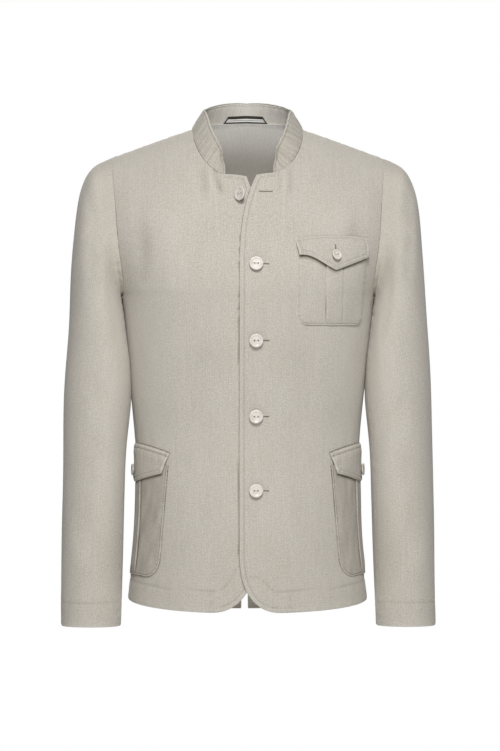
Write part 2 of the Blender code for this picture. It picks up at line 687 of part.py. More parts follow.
def make_flaps():
    for name, flap in FLAPS.items():
        girth, rise, out = flap_points(flap)
        walls = [skin(girth, rise, out - depth) for depth in (0, FLAP_WALL)]
        for node, side in placed(name):
            cloth(node, *walls, mirrored=side < 0)


def make_button(name, point, normal, radius, thick):
    """A turned disc with a raised rim and a dished middle, on a thread shank that ends at the cloth."""
    disc = [(radius * ring.across, thick * ring.up) for ring in BUTTON_RINGS]
    profile = disc + [(SHANK_RADIUS, 0), (SHANK_RADIUS, -SHANK), (0, -SHANK)]
    mesh = bpy.data.meshes.new(name)
    build = bmesh.new()
    verts = [build.verts.new((across, 0, up)) for across, up in profile]
    for start, stop in zip(verts, verts[1:]):
        build.edges.new((start, stop))
    build.to_mesh(mesh)
    build.free()
    mesh.materials.append(finish(name, SHELL, SHELL_ROUGHNESS))
    button = bpy.data.objects.new(name, mesh)
    bpy.context.collection.objects.link(button)
    turned = button.modifiers.new("turned", "SCREW")
    turned.steps = turned.render_steps = BUTTON_SIDES
    turned.use_merge_vertices = True
    turned.merge_threshold = BUTTON_MERGE
    button.rotation_euler = Vector(normal).to_track_quat("Z", "Y").to_euler()
    button.location = Vector(point) + Vector(normal) * (SHANK + BUTTON_GAP)
    button.parent = jacket


def make_front_buttons():
    for number, z in enumerate(FRONT_BUTTON_Z, 1):
        girth, rise = locate(BUTTON_LINE_X, z)
        normal = body_normal(girth, rise)
        point = skin(girth, rise, LAP_LIFT)
        make_button(f"front_button_{number}", point, normal, BUTTON_RADIUS, BUTTON_THICK)
    girth, rise = locate(TOP_BUTTON_X, TOP_BUTTON_Z)
    normal = Vector(body_normal(girth, rise))
    turned = Matrix.Rotation(-math.radians(TOP_BUTTON_TURN), 3, "Z") @ normal
    turned = Vector((turned.x, turned.y, TOP_BUTTON_DIP)).normalized()
    point = Vector(skin(girth, rise, TOP_BUTTON_OUT)) - turned * SHANK
    make_button("top_button", point, turned, BUTTON_RADIUS, BUTTON_THICK)


def make_pocket_buttons():
    for name, flap in FLAPS.items():
        down_flap = [part[:, flap.columns // 2] for part in flap_points(flap)]
        rise = np.array(flap.rise - flap.button_drop)
        girth, out = (np.interp(rise, down_flap[1], down_flap[i]) for i in (0, 2))
        point, normal = skin(girth, rise, out), body_normal(girth, rise)
        for node, side in placed(name.replace("flap", "button")):
            make_button(node, point * (side, 1, 1), normal * (side, 1, 1), flap.button_radius, SMALL_THICK)


for old in list(bpy.data.objects):
    bpy.data.objects.remove(old)
jacket = bpy.data.objects.new("jacket_origin", None)
bpy.context.collection.objects.link(jacket)
make_fronts()
make_backs()
make_sleeves()
make_collar()
make_back_neck_facing()
make_hanger_loop()
make_pockets()
make_flaps()
make_front_buttons()
make_pocket_buttons()
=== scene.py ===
import math
from collections import namedtuple

import bpy
import numpy as np
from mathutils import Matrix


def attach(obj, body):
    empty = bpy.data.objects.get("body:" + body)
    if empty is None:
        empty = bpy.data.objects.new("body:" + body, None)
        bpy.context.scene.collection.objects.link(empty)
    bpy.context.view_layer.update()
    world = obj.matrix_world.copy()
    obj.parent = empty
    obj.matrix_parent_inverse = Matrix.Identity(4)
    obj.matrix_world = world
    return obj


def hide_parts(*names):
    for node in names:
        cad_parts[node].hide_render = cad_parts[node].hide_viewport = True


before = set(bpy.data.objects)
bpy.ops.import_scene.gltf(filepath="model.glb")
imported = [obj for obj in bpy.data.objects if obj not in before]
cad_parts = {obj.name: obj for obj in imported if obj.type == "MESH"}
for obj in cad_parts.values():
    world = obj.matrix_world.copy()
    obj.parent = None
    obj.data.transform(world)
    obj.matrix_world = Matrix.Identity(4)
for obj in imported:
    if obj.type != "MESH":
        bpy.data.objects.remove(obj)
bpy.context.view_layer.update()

# Fronts. Two panels of plain-woven linen cut on the straight grain, sewn to the back at shoulder and
# side. Their edges are faced inside, turned and topstitched, the hem is turned up by hand, and the
# left front laps over the right one.
CHEST_Z, UPPER_RISE = -0.240, 0.260
Level = namedtuple("Level", "rise half_width front_depth back_depth square")
LEVELS = (
    # rise from the chest line, half width, front depth, back depth, how square the section is
    Level(-0.480, 0.1755, 0.1310, 0.1290, 0.62),
    Level(-0.440, 0.1735, 0.1300, 0.1285, 0.62),
    Level(-0.410, 0.1700, 0.1285, 0.1275, 0.62),
    Level(-0.355, 0.1642, 0.1245, 0.1235, 0.62),
    Level(-0.285, 0.1610, 0.1200, 0.1145, 0.62),
    Level(-0.240, 0.1602, 0.1185, 0.1090, 0.62),
    Level(-0.200, 0.1628, 0.1180, 0.1050, 0.62),
    Level(-0.145, 0.1685, 0.1215, 0.1060, 0.64),
    Level(-0.075, 0.1755, 0.1280, 0.1130, 0.66),
    Level(0.000, 0.1845, 0.1325, 0.1190, 0.69),
    Level(0.075, 0.2040, 0.1335, 0.1220, 0.71),
    Level(0.150, 0.2150, 0.1335, 0.1230, 0.71),
    Level(0.260, 0.2260, 0.1335, 0.1230, 0.71),
)
FRONT_ROOF, BACK_ROOF = 1.6, 2.2
NECK_X, SHOULDER_X, SHOULDER_SLOPE = 0.081, 0.2020, 0.378
RIDGE_SOFTNESS, RIDGE_Y, RIDGE_FORWARD = 0.040, 0.016, 0.060
COLLAR_END_X, COLLAR_END_Z, NECK_ROUNDNESS = 0.0345, -0.0680, 1.75
ARMHOLE_BOTTOM, ARMHOLE_REACH, ARMHOLE_SQUARE = -0.0070, 0.340, 3.0
SEAM_GIRTH, SEAM_SWING = 1.24, 0.160
HEM_SIDE_Z = -0.6795
HEM_FRONT_DROP, HEM_FRONT_ROUND = 0.0145, 1.2
HEM_BACK_DROP, HEM_BACK_ROUND = 0.0215, 2.0
CORNER_SQUARE = 2.4
CHEST_ROW_Z = -0.255
LAP_LIFT, LAP_X = 0.0034, (0.085, 0.034)
FrontEdge = namedtuple("FrontEdge", "side past_centre corner_x corner_z top_x top_z open_z open_power lift")
FRONT_EDGES = {
    # side, past the centre, corner across, corner up, top corner x and z, opening from, its power, lift
    "front_left": FrontEdge(1, 0.0152, 0.0600, 0.083, 0.0103, -0.0710, -0.228, 3.0, LAP_LIFT),
    "front_right": FrontEdge(-1, 0.0230, 0.0810, 0.165, 0.0047, -0.0715, -0.228, 2.2, 0.0),
}
BODY_WALL = 0.0013
DENSE = 400


def spline(knots, values, at):
    """Smooth curve through the values: a cubic on each span, with slopes from the neighbours."""
    knots, values = np.asarray(knots, float), np.asarray(values, float)
    slopes = np.gradient(values, knots, axis=0)
    at = np.clip(at, knots[0], knots[-1])
    low = np.clip(np.searchsorted(knots, at, side="right") - 1, 0, len(knots) - 2)
    width = knots[low + 1] - knots[low]
    t = (at - knots[low]) / width
    shape = t.shape + (1,) * (values.ndim - 1)
    t, width = t.reshape(shape), width.reshape(shape)
    return (
        values[low] * (1 + 2 * t) * (1 - t) ** 2
        + values[low + 1] * t * t * (3 - 2 * t)
        + slopes[low] * width * t * (1 - t) ** 2
        - slopes[low + 1] * width * t * t * (1 - t)
    )


def column(rows, name, at):
    """One column of a table, read smoothly at any value of the table's first column."""
    return spline([row[0] for row in rows], [getattr(row, name) for row in rows], np.asarray(at, float))


def smooth_step(low, high, at):
    """0 at low and 1 at high, with level ends: 3t squared less 2t cubed."""
    t = np.clip((at - low) / (high - low), 0, 1)
    return t * t * (3 - 2 * t)


def between(at, low, low_full, high_full, high):
    """1 between the two full places, falling smoothly to 0 at the low and the high one."""
    return smooth_step(low, low_full, at) * smooth_step(high, high_full, at)


def hump(at, middle, width):
    """A bell: e to the minus square of the distance from the middle over the width."""
    return np.exp(-(((at - middle) / width) ** 2))


def unit(vectors):
    """Vectors over their own lengths."""
    return vectors / np.maximum(np.linalg.norm(vectors, axis=-1, keepdims=True), 1e-12)


def raised(points, by, way):
    """Points moved along their own directions."""
    return points + np.asarray(by)[..., None] * way


def quarter(turn, square):
    """Share of the half width reached at a share of the quarter turn, as a cubic arc."""
    left = 1 - turn
    return 3 * left * left * turn * square + 3 * left * turn * turn + turn**3


def shoulder_z(x):
    """Height of the shoulder ridge: a slope with a rounded top, zero at the neck point."""
    return -SHOULDER_SLOPE * (np.hypot(x, RIDGE_SOFTNESS) - math.hypot(NECK_X, RIDGE_SOFTNESS))


def body(girth, rise):
    """Cloth at a girth (0 centre front, 1 side, 2 centre back) and rise: a section of two cubic
    arcs, drawn in over the shoulders towards the ridge above the chest line."""
    girth, rise = np.broadcast_arrays(np.asarray(girth, float), np.asarray(rise, float))
    girth = (girth + 2) % 4 - 2
    turn = np.abs(girth)
    front = turn <= 1
    square = column(LEVELS, "square", rise)
    x = column(LEVELS, "half_width", rise) * quarter(np.where(front, turn, 2 - turn), square)
    depth = np.where(front, -column(LEVELS, "front_depth", rise), column(LEVELS, "back_depth", rise))
    depth = depth * quarter(np.abs(1 - turn), square)
    angle = (1 - np.clip(rise / UPPER_RISE, 0, 1)) * math.pi / 2
    power = 2 / np.where(front, FRONT_ROOF, BACK_ROOF)
    over = np.sin(angle) ** power
    up = np.clip(np.cos(angle), 0, 1) ** power
    z = CHEST_Z + np.where(rise > 0, (shoulder_z(x) - CHEST_Z) * up, rise)
    y = (RIDGE_Y - RIDGE_FORWARD * x) * (1 - over) + depth * over
    return np.stack([np.sign(girth) * x, y, z], -1)


SMALL_STEP = 0.0001


def body_normal(girth, rise):
    """Outward direction: the cross product of small steps round and up the cloth."""
    rise = np.clip(rise, -1, UPPER_RISE - 2 * SMALL_STEP)
    across = body(girth + SMALL_STEP, rise) - body(girth - SMALL_STEP, rise)
    along = body(girth, rise + SMALL_STEP) - body(girth, rise - SMALL_STEP)
    return unit(np.cross(across, along))


def skin(girth, rise, out):
    """The body's cloth moved out along its own normal."""
    return raised(body(girth, rise), out, body_normal(girth, rise))


HALVINGS = 40


def locate(x, z):
    """Girth and rise of the front's point that is seen from the front at x and z, by halving."""
    x, z = np.broadcast_arrays(np.asarray(x, float), np.asarray(z, float))
    up = np.clip((z - CHEST_Z) / (shoulder_z(x) - CHEST_Z), 0, 1)
    climb = UPPER_RISE * (1 - np.arccos(up ** (FRONT_ROOF / 2)) / (math.pi / 2))
    rise = np.where(z > CHEST_Z, climb, z - CHEST_Z)
    share = np.abs(x) / column(LEVELS, "half_width", rise)
    low, high = np.zeros_like(share), np.ones_like(share)
    for _ in range(HALVINGS):
        middle = (low + high) / 2
        under = quarter(middle, column(LEVELS, "square", rise)) < share
        low, high = np.where(under, middle, low), np.where(under, high, middle)
    return np.sign(x) * low, rise


def run_of(line):
    """Length along a line of points, from its start to each point."""
    return np.concatenate([[0], np.cumsum(np.linalg.norm(np.diff(line, axis=0), axis=1))])


def dealt(line, run, at):
    """A line read again at the given lengths, from the lengths of its own points."""
    return np.stack([np.interp(at, run, part) for part in line.T], -1)


def spread(curve, shares):
    """Points of a dense (girth, rise) curve at the given shares of its real length."""
    run = run_of(body(*curve.T))
    return dealt(curve, run, np.asarray(shares) * run[-1])


LINE_STEP = 0.0012


def evenly(line, step=LINE_STEP):
    """A line of points in space, dealt out again at even steps of its length."""
    run = run_of(line)
    return dealt(line, run, np.linspace(0, run[-1], max(int(round(run[-1] / step)), 1) + 1))


def joined(*curves):
    """Curves end to end, with each shared point once."""
    return np.concatenate([curves[0]] + [curve[1:] for curve in curves[1:]])


def fill(bottom, right, top, left, u, v):
    """Grid between four edges: each point is the edges' blend less the corners' blend."""
    u, v = u[None, :, None], v[:, None, None]
    edges = (1 - v) * bottom[None] + v * top[None] + (1 - u) * left[:, None] + u * right[:, None]
    low, high = (1 - u) * bottom[0] + u * bottom[-1], (1 - u) * top[0] + u * top[-1]
    return edges - (1 - v) * low - v * high


def steps_to(count, power=1.0, at_end=False):
    """Shares from 0 to 1 that crowd towards the start, or the end, by a power of even steps."""
    even = np.linspace(0, 1, count + 1)
    return 1 - (1 - even) ** power if at_end else even**power


NEAREST_BLOCK = 500


def nearest(points, line):
    """Distance from each point to the nearest point of a line, and how far along the line that is."""
    flat, run = points.reshape(-1, 3), run_of(line)
    gaps, places = [], []
    for block in np.array_split(flat, len(flat) // NEAREST_BLOCK + 1):
        square = ((block[:, None] - line) ** 2).sum(-1)
        gaps.append(np.sqrt(square.min(1)))
        places.append(run[square.argmin(1)])
    shape = points.shape[:-1]
    return np.concatenate(gaps).reshape(shape), np.concatenate(places).reshape(shape)


WANDER_SINES, WANDER_SPREAD, WANDER_LEVEL = 4, (0.65, 1.7), 2.4


def wander(at, wavelength, seed):
    """An uneven ripple between about -1 and 1: sines of near wavelengths with seeded phases, added up."""
    draw = np.random.RandomState(seed)
    waves = wavelength * draw.uniform(*WANDER_SPREAD, WANDER_SINES)
    phases = draw.uniform(0, 2 * math.pi, WANDER_SINES)
    sines = (np.sin(2 * math.pi * at / wave + phase) for wave, phase in zip(waves, phases))
    return sum(sines) / WANDER_LEVEL


DRIFT_WAVES, DRIFT_SPREAD, DRIFT_PHASE, DRIFT_ACROSS, DRIFT_ALONG = 6, (0.7, 1.6), 6.3, 1.6, 0.7


def drift(across, along, wavelength, seed):
    """Slow unevenness of hung cloth: plane waves in seeded directions, closer across than along."""
    draw = np.random.RandomState(seed)
    total = 0
    for _ in range(DRIFT_WAVES):
        turn = draw.uniform(0, math.pi)
        wave = wavelength * draw.uniform(*DRIFT_SPREAD)
        phase = draw.uniform(0, DRIFT_PHASE)
        way = across * math.cos(turn) * DRIFT_ACROSS + along * math.sin(turn) * DRIFT_ALONG
        total = total + np.sin(2 * math.pi * way / wave + phase)
    return 2 * total / DRIFT_WAVES


Hang = namedtuple("Hang", "depth wave fade")


def hung(across, along, gap, hang, seed):
    """Relief of hung cloth: drift by depth and wavelength, fading in between two distances from edges."""
    return hang.depth * drift(across, along, hang.wave, seed) * smooth_step(*hang.fade, gap)


Mark = namedtuple("Mark", "size width")


def streak(gap, place, mark):
    """A ridge, trough or tone along an edge: a bell of the mark's size and width, at a place in from it."""
    return mark.size * hump(gap, place, mark.width)


EDGE_ROLL, EDGE_GROOVE, EDGE_PUCKER = Mark(-0.0009, 0.0013), Mark(-0.0008, 0.0010), Mark(0.0004, 0.0060)
EDGE_SWELL, EDGE_SWELL_AT, EDGE_SWELL_WIDE = 0.00030, 0.5, 0.3
GROOVE_EVEN, GROOVE_UNEVEN, GROOVE_WAVE, PUCKER_WAVE = 0.75, 0.35, 0.006, 0.011
FREE_ROLL = Mark(-0.0009, 0.0015)


def turned_edge(gap, along, stitch_in, seed):
    """A turned and topstitched edge: it rolls over at the rim, swells up to the stitching, sinks
    into a groove there, and puckers a little along it."""
    swell = EDGE_SWELL * hump(gap, stitch_in * EDGE_SWELL_AT, stitch_in * EDGE_SWELL_WIDE)
    uneven = GROOVE_EVEN + GROOVE_UNEVEN * wander(along, GROOVE_WAVE, seed + 1)
    groove = streak(gap, stitch_in, EDGE_GROOVE) * uneven
    pucker = streak(gap, stitch_in, EDGE_PUCKER) * wander(along, PUCKER_WAVE, seed)
    return streak(gap, 0, EDGE_ROLL) + swell + groove + pucker


SEAM_SINK, SEAM_PUCKER = Mark(-0.0004, 0.0018), Mark(0.00034, 0.0080)
SEAM_PUCKER_IN, SEAM_PUCKER_WAVE = 0.004, 0.015


def seam_edge(gap, along, seed):
    """A seam: the cloth sinks towards it and puckers a little along it."""
    pucker = streak(gap, SEAM_PUCKER_IN, SEAM_PUCKER) * wander(along, SEAM_PUCKER_WAVE, seed)
    return streak(gap, 0, SEAM_SINK) + pucker


EDGE_PALE_WIDE, EDGE_GLOW = 0.0014, Mark(0.10, 0.0060)


def edge_wear_and_highlight(gap, pale):
    """Paler edge, part wear and part painted highlight: a narrow bell of the given tone over a wide faint
    one.
    """
    return streak(gap, 0, Mark(pale, EDGE_PALE_WIDE)) + streak(gap, 0, EDGE_GLOW)


Crease = namedtuple("Crease", "start middle end depth width")
CREASE_TAPER, CREASE_UNEVEN, CREASE_WAVE, CREASE_SEED = 0.8, 0.25, 0.05, 90


def creased(points, creases, path):
    """Listed troughs and ridges: each is a bell across its path, tapering to nothing at both ends."""
    total = np.zeros(points.shape[:-1])
    for number, crease in enumerate(creases):
        line = path(crease.start, crease.middle, crease.end)
        gap, along = nearest(points, line)
        taper = np.sin(math.pi * np.clip(along / run_of(line)[-1], 0, 1)) ** CREASE_TAPER
        uneven = 1 + CREASE_UNEVEN * wander(along, CREASE_WAVE, CREASE_SEED + number)
        total -= crease.depth * taper * uneven * hump(gap, 0, crease.width)
    return total


def grid_normal(points):
    """Outward directions on a grid, from the cross product of its column and row steps."""
    return unit(np.cross(np.gradient(points, axis=1), np.gradient(points, axis=0)))


def node_maker(name):
    """A new material, a way to add a node to it and a way to set its shader. An input is given a value,
    or the socket that feeds it."""
    material = bpy.data.materials.new(name)
    material.use_nodes = True
    tree = material.node_tree

    def feed(node, inputs):
        for key, value in inputs.items():
            if isinstance(value, bpy.types.NodeSocket):
                tree.links.new(value, node.inputs[key])
            else:
                node.inputs[key].default_value = value

    def add(kind, inputs, **settings):
        node = tree.nodes.new(f"ShaderNode{kind}")
        for key, value in settings.items():
            setattr(node, key, value)
        feed(node, inputs)
        return node.outputs

    return material, add, lambda inputs: feed(tree.nodes["Principled BSDF"], inputs)


SHADE_TINT = (0.31, 0.28, 0.235)
WARP_PITCH, WEFT_PITCH = 0.00074, 0.00068


def linen(name, dark, light, wear_and_painted_light_tone, contrast=1.0):
    """Plain-woven linen on the weave map, which is in metres. Noise stretched for dye, slubs, warp, weft
    and nubs, each by its own weight, mixes two tones. The attribute of wear and painted light mixes in a
    paler tone above zero, for wear and painted highlights, and multiplies by a warm painted shade below it.
    The threads' height, sine by sine, is a bump."""
    material, add, shade = node_maker(name)
    weave = add("UVMap", {}, uv_map="weave")["UV"]

    def streaks(across, along, detail=2.0):
        fit = add("Mapping", {"Vector": weave, "Scale": (across, along, 1.0)})["Vector"]
        return add("TexNoise", {"Vector": fit, "Scale": 1.0, "Detail": detail}, noise_dimensions="2D")["Fac"]

    def plus(first, factor, second=0.0):
        return add("Math", {0: first, 1: factor, 2: second}, operation="MULTIPLY_ADD")[0]

    def mix(factor, first, second, blend="MIX"):
        inputs = {"Factor": factor, "A": first, "B": second}
        return add("Mix", inputs, data_type="RGBA", blend_type=blend)["Result"]

    warp, weft = streaks(760.0, 110.0), streaks(95.0, 820.0)
    dye, nubs, slubs = streaks(22.0, 16.0), streaks(560.0, 620.0), streaks(430.0, 15.0, detail=1.0)
    weights = ((dye, 0.36), (slubs, 0.44), (warp, 0.72), (weft, 0.86), (nubs, 2.30))
    tone = 0.5 - 0.5 * contrast * sum(weight for _, weight in weights)
    for noise, weight in weights:
        tone = plus(noise, weight * contrast, tone)
    wear_and_painted_light = add("Attribute", {}, attribute_name="wear_and_painted_light")["Fac"]
    cloth = mix(tone, (*dark, 1), (*light, 1))
    cloth = mix(plus(wear_and_painted_light, 0.75), cloth, (*wear_and_painted_light_tone, 1))
    cloth = mix(plus(wear_and_painted_light, -1.0), cloth, (*SHADE_TINT, 1), "MULTIPLY")

    apart = add("SeparateXYZ", {"Vector": weave})
    turns = (plus(apart["X"], 2 * math.pi / WARP_PITCH), plus(apart["Y"], 2 * math.pi / WEFT_PITCH))
    sines = [add("Math", {0: turn}, operation="SINE")[0] for turn in turns]
    over_under = add("Math", {0: sines[0], 1: sines[1]}, operation="MULTIPLY")[0]
    height = plus(over_under, 0.22, plus(warp, 0.9, plus(weft, 1.0)))
    bump = add("Bump", {"Height": height, "Strength": 0.30, "Distance": 0.0006})["Normal"]
    shade({"Base Color": cloth, "Normal": bump, "Roughness": 0.92, "Specular IOR Level": 0.18})
    shade({"Sheen Weight": 0.22, "Sheen Roughness": 0.5})
    return material


linen_cloth = linen("sand_linen", (0.500, 0.462, 0.400), (0.650, 0.612, 0.545), (0.74, 0.71, 0.65))


def finish_piece(piece, slot, *nodes):
    """Carries a finished piece on the one body and hides the solids that it stands for; the slot is not used.
    """
    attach(piece, "root")
    if nodes:
        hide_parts(*nodes)
    return piece


SHARP_FROM = math.radians(38)


def put_mesh(name, points, faces, material, weave=None, wear_and_painted_light=None, mirrored=False, sharp=True):
    """A mesh of points and of arrays of faces, with its weave map and its wear and painted light; mirrored,
    it is turned over in x."""
    if mirrored:
        points, faces = points * (-1, 1, 1), [part[:, ::-1] for part in faces]
    mesh = bpy.data.meshes.new(name)
    mesh.from_pydata(points.tolist(), [], sum((part.tolist() for part in faces), []))
    if weave is not None:
        corners = np.concatenate([part.ravel() for part in faces])
        mesh.uv_layers.new(name="weave").data.foreach_set("uv", weave[corners].astype(np.float32).ravel())
    if wear_and_painted_light is not None:
        mesh.attributes.new("wear_and_painted_light", "FLOAT", "POINT").data.foreach_set("value", wear_and_painted_light.astype(np.float32))
    mesh.shade_smooth()
    if sharp:
        mesh.set_sharp_from_angle(angle=SHARP_FROM)
    mesh.materials.append(material)
    piece = bpy.data.objects.new(name, mesh)
    bpy.context.collection.objects.link(piece)
    return piece


def quads(index):
    """Faces of a grid of point numbers, by the right hand: along a row, then up a column."""
    corners = (index[:-1, :-1], index[:-1, 1:], index[1:, 1:], index[1:, :-1])
    return np.stack([corner.ravel() for corner in corners], -1)


RIM_ROUND, RIM_ROUND_MOST = 0.42, 0.002


def sew(
    node, outer, way, deep, weave, wear_and_painted_light, material=linen_cloth, slot="linen", kind="cloth",
    mirrored=False, rim_shade=0.0, inner_wear_and_painted_light=None,
):
    """A cloth piece for a solid: an outer sheet of faces and an inner one, which lies deeper against the
    way that the cloth faces, closed by a rim that is rounded outwards."""
    rows, columns = outer.shape[:2]
    inner = raised(outer, -np.asarray(deep), way)
    index = np.arange(rows * columns).reshape(rows, columns)
    loop = np.concatenate([index[0, :-1], index[:-1, -1], index[-1, :0:-1], index[:0:-1, 0]])
    within = np.concatenate([index[1, :-1], index[:-1, -2], index[-2, :0:-1], index[:0:-1, 1]])
    outer, inner = outer.reshape(-1, 3), inner.reshape(-1, 3)
    weave, wear_and_painted_light = weave.reshape(-1, 2), wear_and_painted_light.ravel()
    thick = np.linalg.norm(outer[loop] - inner[loop], axis=1, keepdims=True)
    swell = RIM_ROUND * np.minimum(thick, RIM_ROUND_MOST)
    rim_points = (outer[loop] + inner[loop]) / 2 + unit(outer[loop] - outer[within]) * swell
    count = rows * columns
    rim = 2 * count + np.arange(len(loop))
    after, rim_after = np.roll(loop, -1), np.roll(rim, -1)
    faces = np.concatenate([
        quads(index),
        quads(index)[:, ::-1] + count,
        np.stack([after, loop, rim, rim_after], -1),
        np.stack([rim_after, rim, loop + count, after + count], -1),
    ])
    rim_tone = np.broadcast_to(rim_shade, (rows, columns)).ravel()[loop]
    piece = put_mesh(
        f"{node}_{kind}", np.concatenate([outer, inner, rim_points]), [faces], material,
        np.concatenate([weave, weave, weave[loop]]),
        np.concatenate([wear_and_painted_light, wear_and_painted_light if inner_wear_and_painted_light is None else inner_wear_and_painted_light.ravel(), rim_tone]), mirrored,
    )
    return finish_piece(piece, slot, node)


Flat = namedtuple("Flat", "wide long area")


def thread_finish(name, colour):
    """Sewing thread: its colour with a fine twist as bump, on Object coordinates."""
    material, add, shade = node_maker(name)
    twist = add("TexNoise", {"Vector": add("TexCoord", {})["Object"], "Scale": 1800.0})["Fac"]
    darker = [0.82 * part for part in colour]
    tone = add("Mix", {"Factor": twist, "A": (*darker, 1), "B": (*colour, 1)}, data_type="RGBA")["Result"]
    bump = add("Bump", {"Height": twist, "Strength": 0.4, "Distance": 0.0002})["Normal"]
    shade({"Base Color": tone, "Normal": bump, "Roughness": 0.75})
    return material


thread = thread_finish("sand_thread", (0.60, 0.56, 0.49))
LAY_BLOCK = 60


def lay_on(points, outer, normal):
    """Points brought onto a grid's surface: each drops onto the plane of the nearest grid point."""
    flat = outer.reshape(-1, 3)
    blocks = np.array_split(points, len(points) // LAY_BLOCK + 1)
    place = np.concatenate([((block[:, None] - flat) ** 2).sum(-1).argmin(1) for block in blocks])
    way = normal.reshape(-1, 3)[place]
    return points - ((points - flat[place]) * way).sum(-1, keepdims=True) * way, way


STITCH_PITCH, STITCH_LENGTH, STITCH_WIDTH, STITCH_HIGH = 0.0032, 0.0026, 0.00034, 0.00030
STITCH_SIDES, STITCH_UP, STITCH_FULL = 5, 0.35, 0.45


def inset(line, outer, normal, by):
    """A line moved in from an edge, across the surface, to the left of the way that it runs."""
    on, way = lay_on(evenly(line, STITCH_PITCH), outer, normal)
    sideways = unit(np.cross(way, np.gradient(on, axis=0)))
    return lay_on(on + by * sideways, outer, normal)


def even_turns(count):
    """Even angles round a circle, from zero."""
    return np.arange(count) * 2 * math.pi / count


def stitch_mesh(name, at, along, up, length, mirrored):
    """Stitches as one mesh: each is a spindle along its way, two rings of points between two tips."""
    turn = even_turns(STITCH_SIDES)
    aside, low, half = np.cross(up, along)[:, None], STITCH_HIGH * up[:, None], along[:, None] * length / 2
    ring = aside * (STITCH_WIDTH * np.cos(turn))[:, None] + low * np.sin(turn)[:, None]
    middle = at[:, None] + STITCH_UP * low
    rings = [middle - STITCH_FULL * half + ring, middle + STITCH_FULL * half + ring]
    points = np.concatenate([middle - half - low, *rings, middle + half - low], axis=1)
    first = 1 + np.arange(STITCH_SIDES)
    second, after = first + STITCH_SIDES, np.roll(first, -1)
    start, stop = 0 * first, 0 * first + 2 * STITCH_SIDES + 1
    tips = np.concatenate([
        np.stack([start, after, first], -1), np.stack([stop, second, after + STITCH_SIDES], -1),
    ])
    sides = np.stack([first, after, after + STITCH_SIDES, second], -1)
    begin = (np.arange(len(at)) * points.shape[1])[:, None, None]
    faces = [(begin + part).reshape(-1, part.shape[1]) for part in (tips, sides)]
    piece = put_mesh(name, points.reshape(-1, 3), faces, thread, mirrored=mirrored, sharp=False)
    return finish_piece(piece, "linen")


def stitches(name, rows, mirrored=False):
    """Rows of stitches as one mesh, one stitch in the middle of each step of a row."""
    at = np.concatenate([(line[1:] + line[:-1]) / 2 for line, _ in rows])
    along = unit(np.concatenate([np.diff(line, axis=0) for line, _ in rows]))
    up = unit(np.concatenate([way[1:] + way[:-1] for _, way in rows]))
    return stitch_mesh(name, at, along, up, STITCH_LENGTH, mirrored)


def hem_rise(girth):
    """Rise of the hem: lowest at the centre front and back, by powers of a cosine round the body."""
    towards = np.abs(np.cos(girth * math.pi / 2))
    front = HEM_FRONT_DROP * towards**HEM_FRONT_ROUND
    back = HEM_BACK_DROP * towards**HEM_BACK_ROUND
    return HEM_SIDE_Z - CHEST_Z - np.where(np.abs(girth) < 1, front, back)


def armhole(back):
    """Half of the armhole from its bottom up to the shoulder seam, a squared arc in girth and rise."""
    angle = np.linspace(0, math.pi / 2, 4 * DENSE)
    power = 2 / ARMHOLE_SQUARE
    reach = ARMHOLE_REACH * np.sin(angle) ** power
    rise = ARMHOLE_BOTTOM + (UPPER_RISE - ARMHOLE_BOTTOM) * (1 - np.clip(np.cos(angle), 0, 1) ** power)
    return np.stack([1 + reach if back else 1 - reach, rise], -1)


def side_seam():
    """From the hem up to the bottom of the armhole, swinging forward under the arm."""
    rise = np.linspace(hem_rise(np.array(SEAM_GIRTH)), ARMHOLE_BOTTOM, DENSE)
    swing = smooth_step(ARMHOLE_BOTTOM, ARMHOLE_BOTTOM - SEAM_SWING, rise)
    return np.stack([1 + (SEAM_GIRTH - 1) * swing, rise], -1)


def shoulder_seam(back):
    """From the neck out to the shoulder tip, along the ridge."""
    x = np.linspace(NECK_X, SHOULDER_X, DENSE)
    girth, _ = locate(x, shoulder_z(x))
    start, stop = girth[0], 1 - ARMHOLE_REACH
    girth = start + (girth - start) * (stop - start) / (girth[-1] - start)
    return np.stack([2 - girth if back else girth, np.full(DENSE, UPPER_RISE)], -1)


def front_neck():
    """Neck seam of the front, a squared arc from the collar's end up to the shoulder seam."""
    angle = np.linspace(0, math.pi / 2, DENSE)
    power = 2 / NECK_ROUNDNESS
    x = COLLAR_END_X + (NECK_X - COLLAR_END_X) * np.sin(angle) ** power
    z = COLLAR_END_Z * np.clip(np.cos(angle), 0, 1) ** power
    return np.stack(locate(x, z), -1)


EDGE_SHARE, NECK_SHARE = 0.16, 0.54


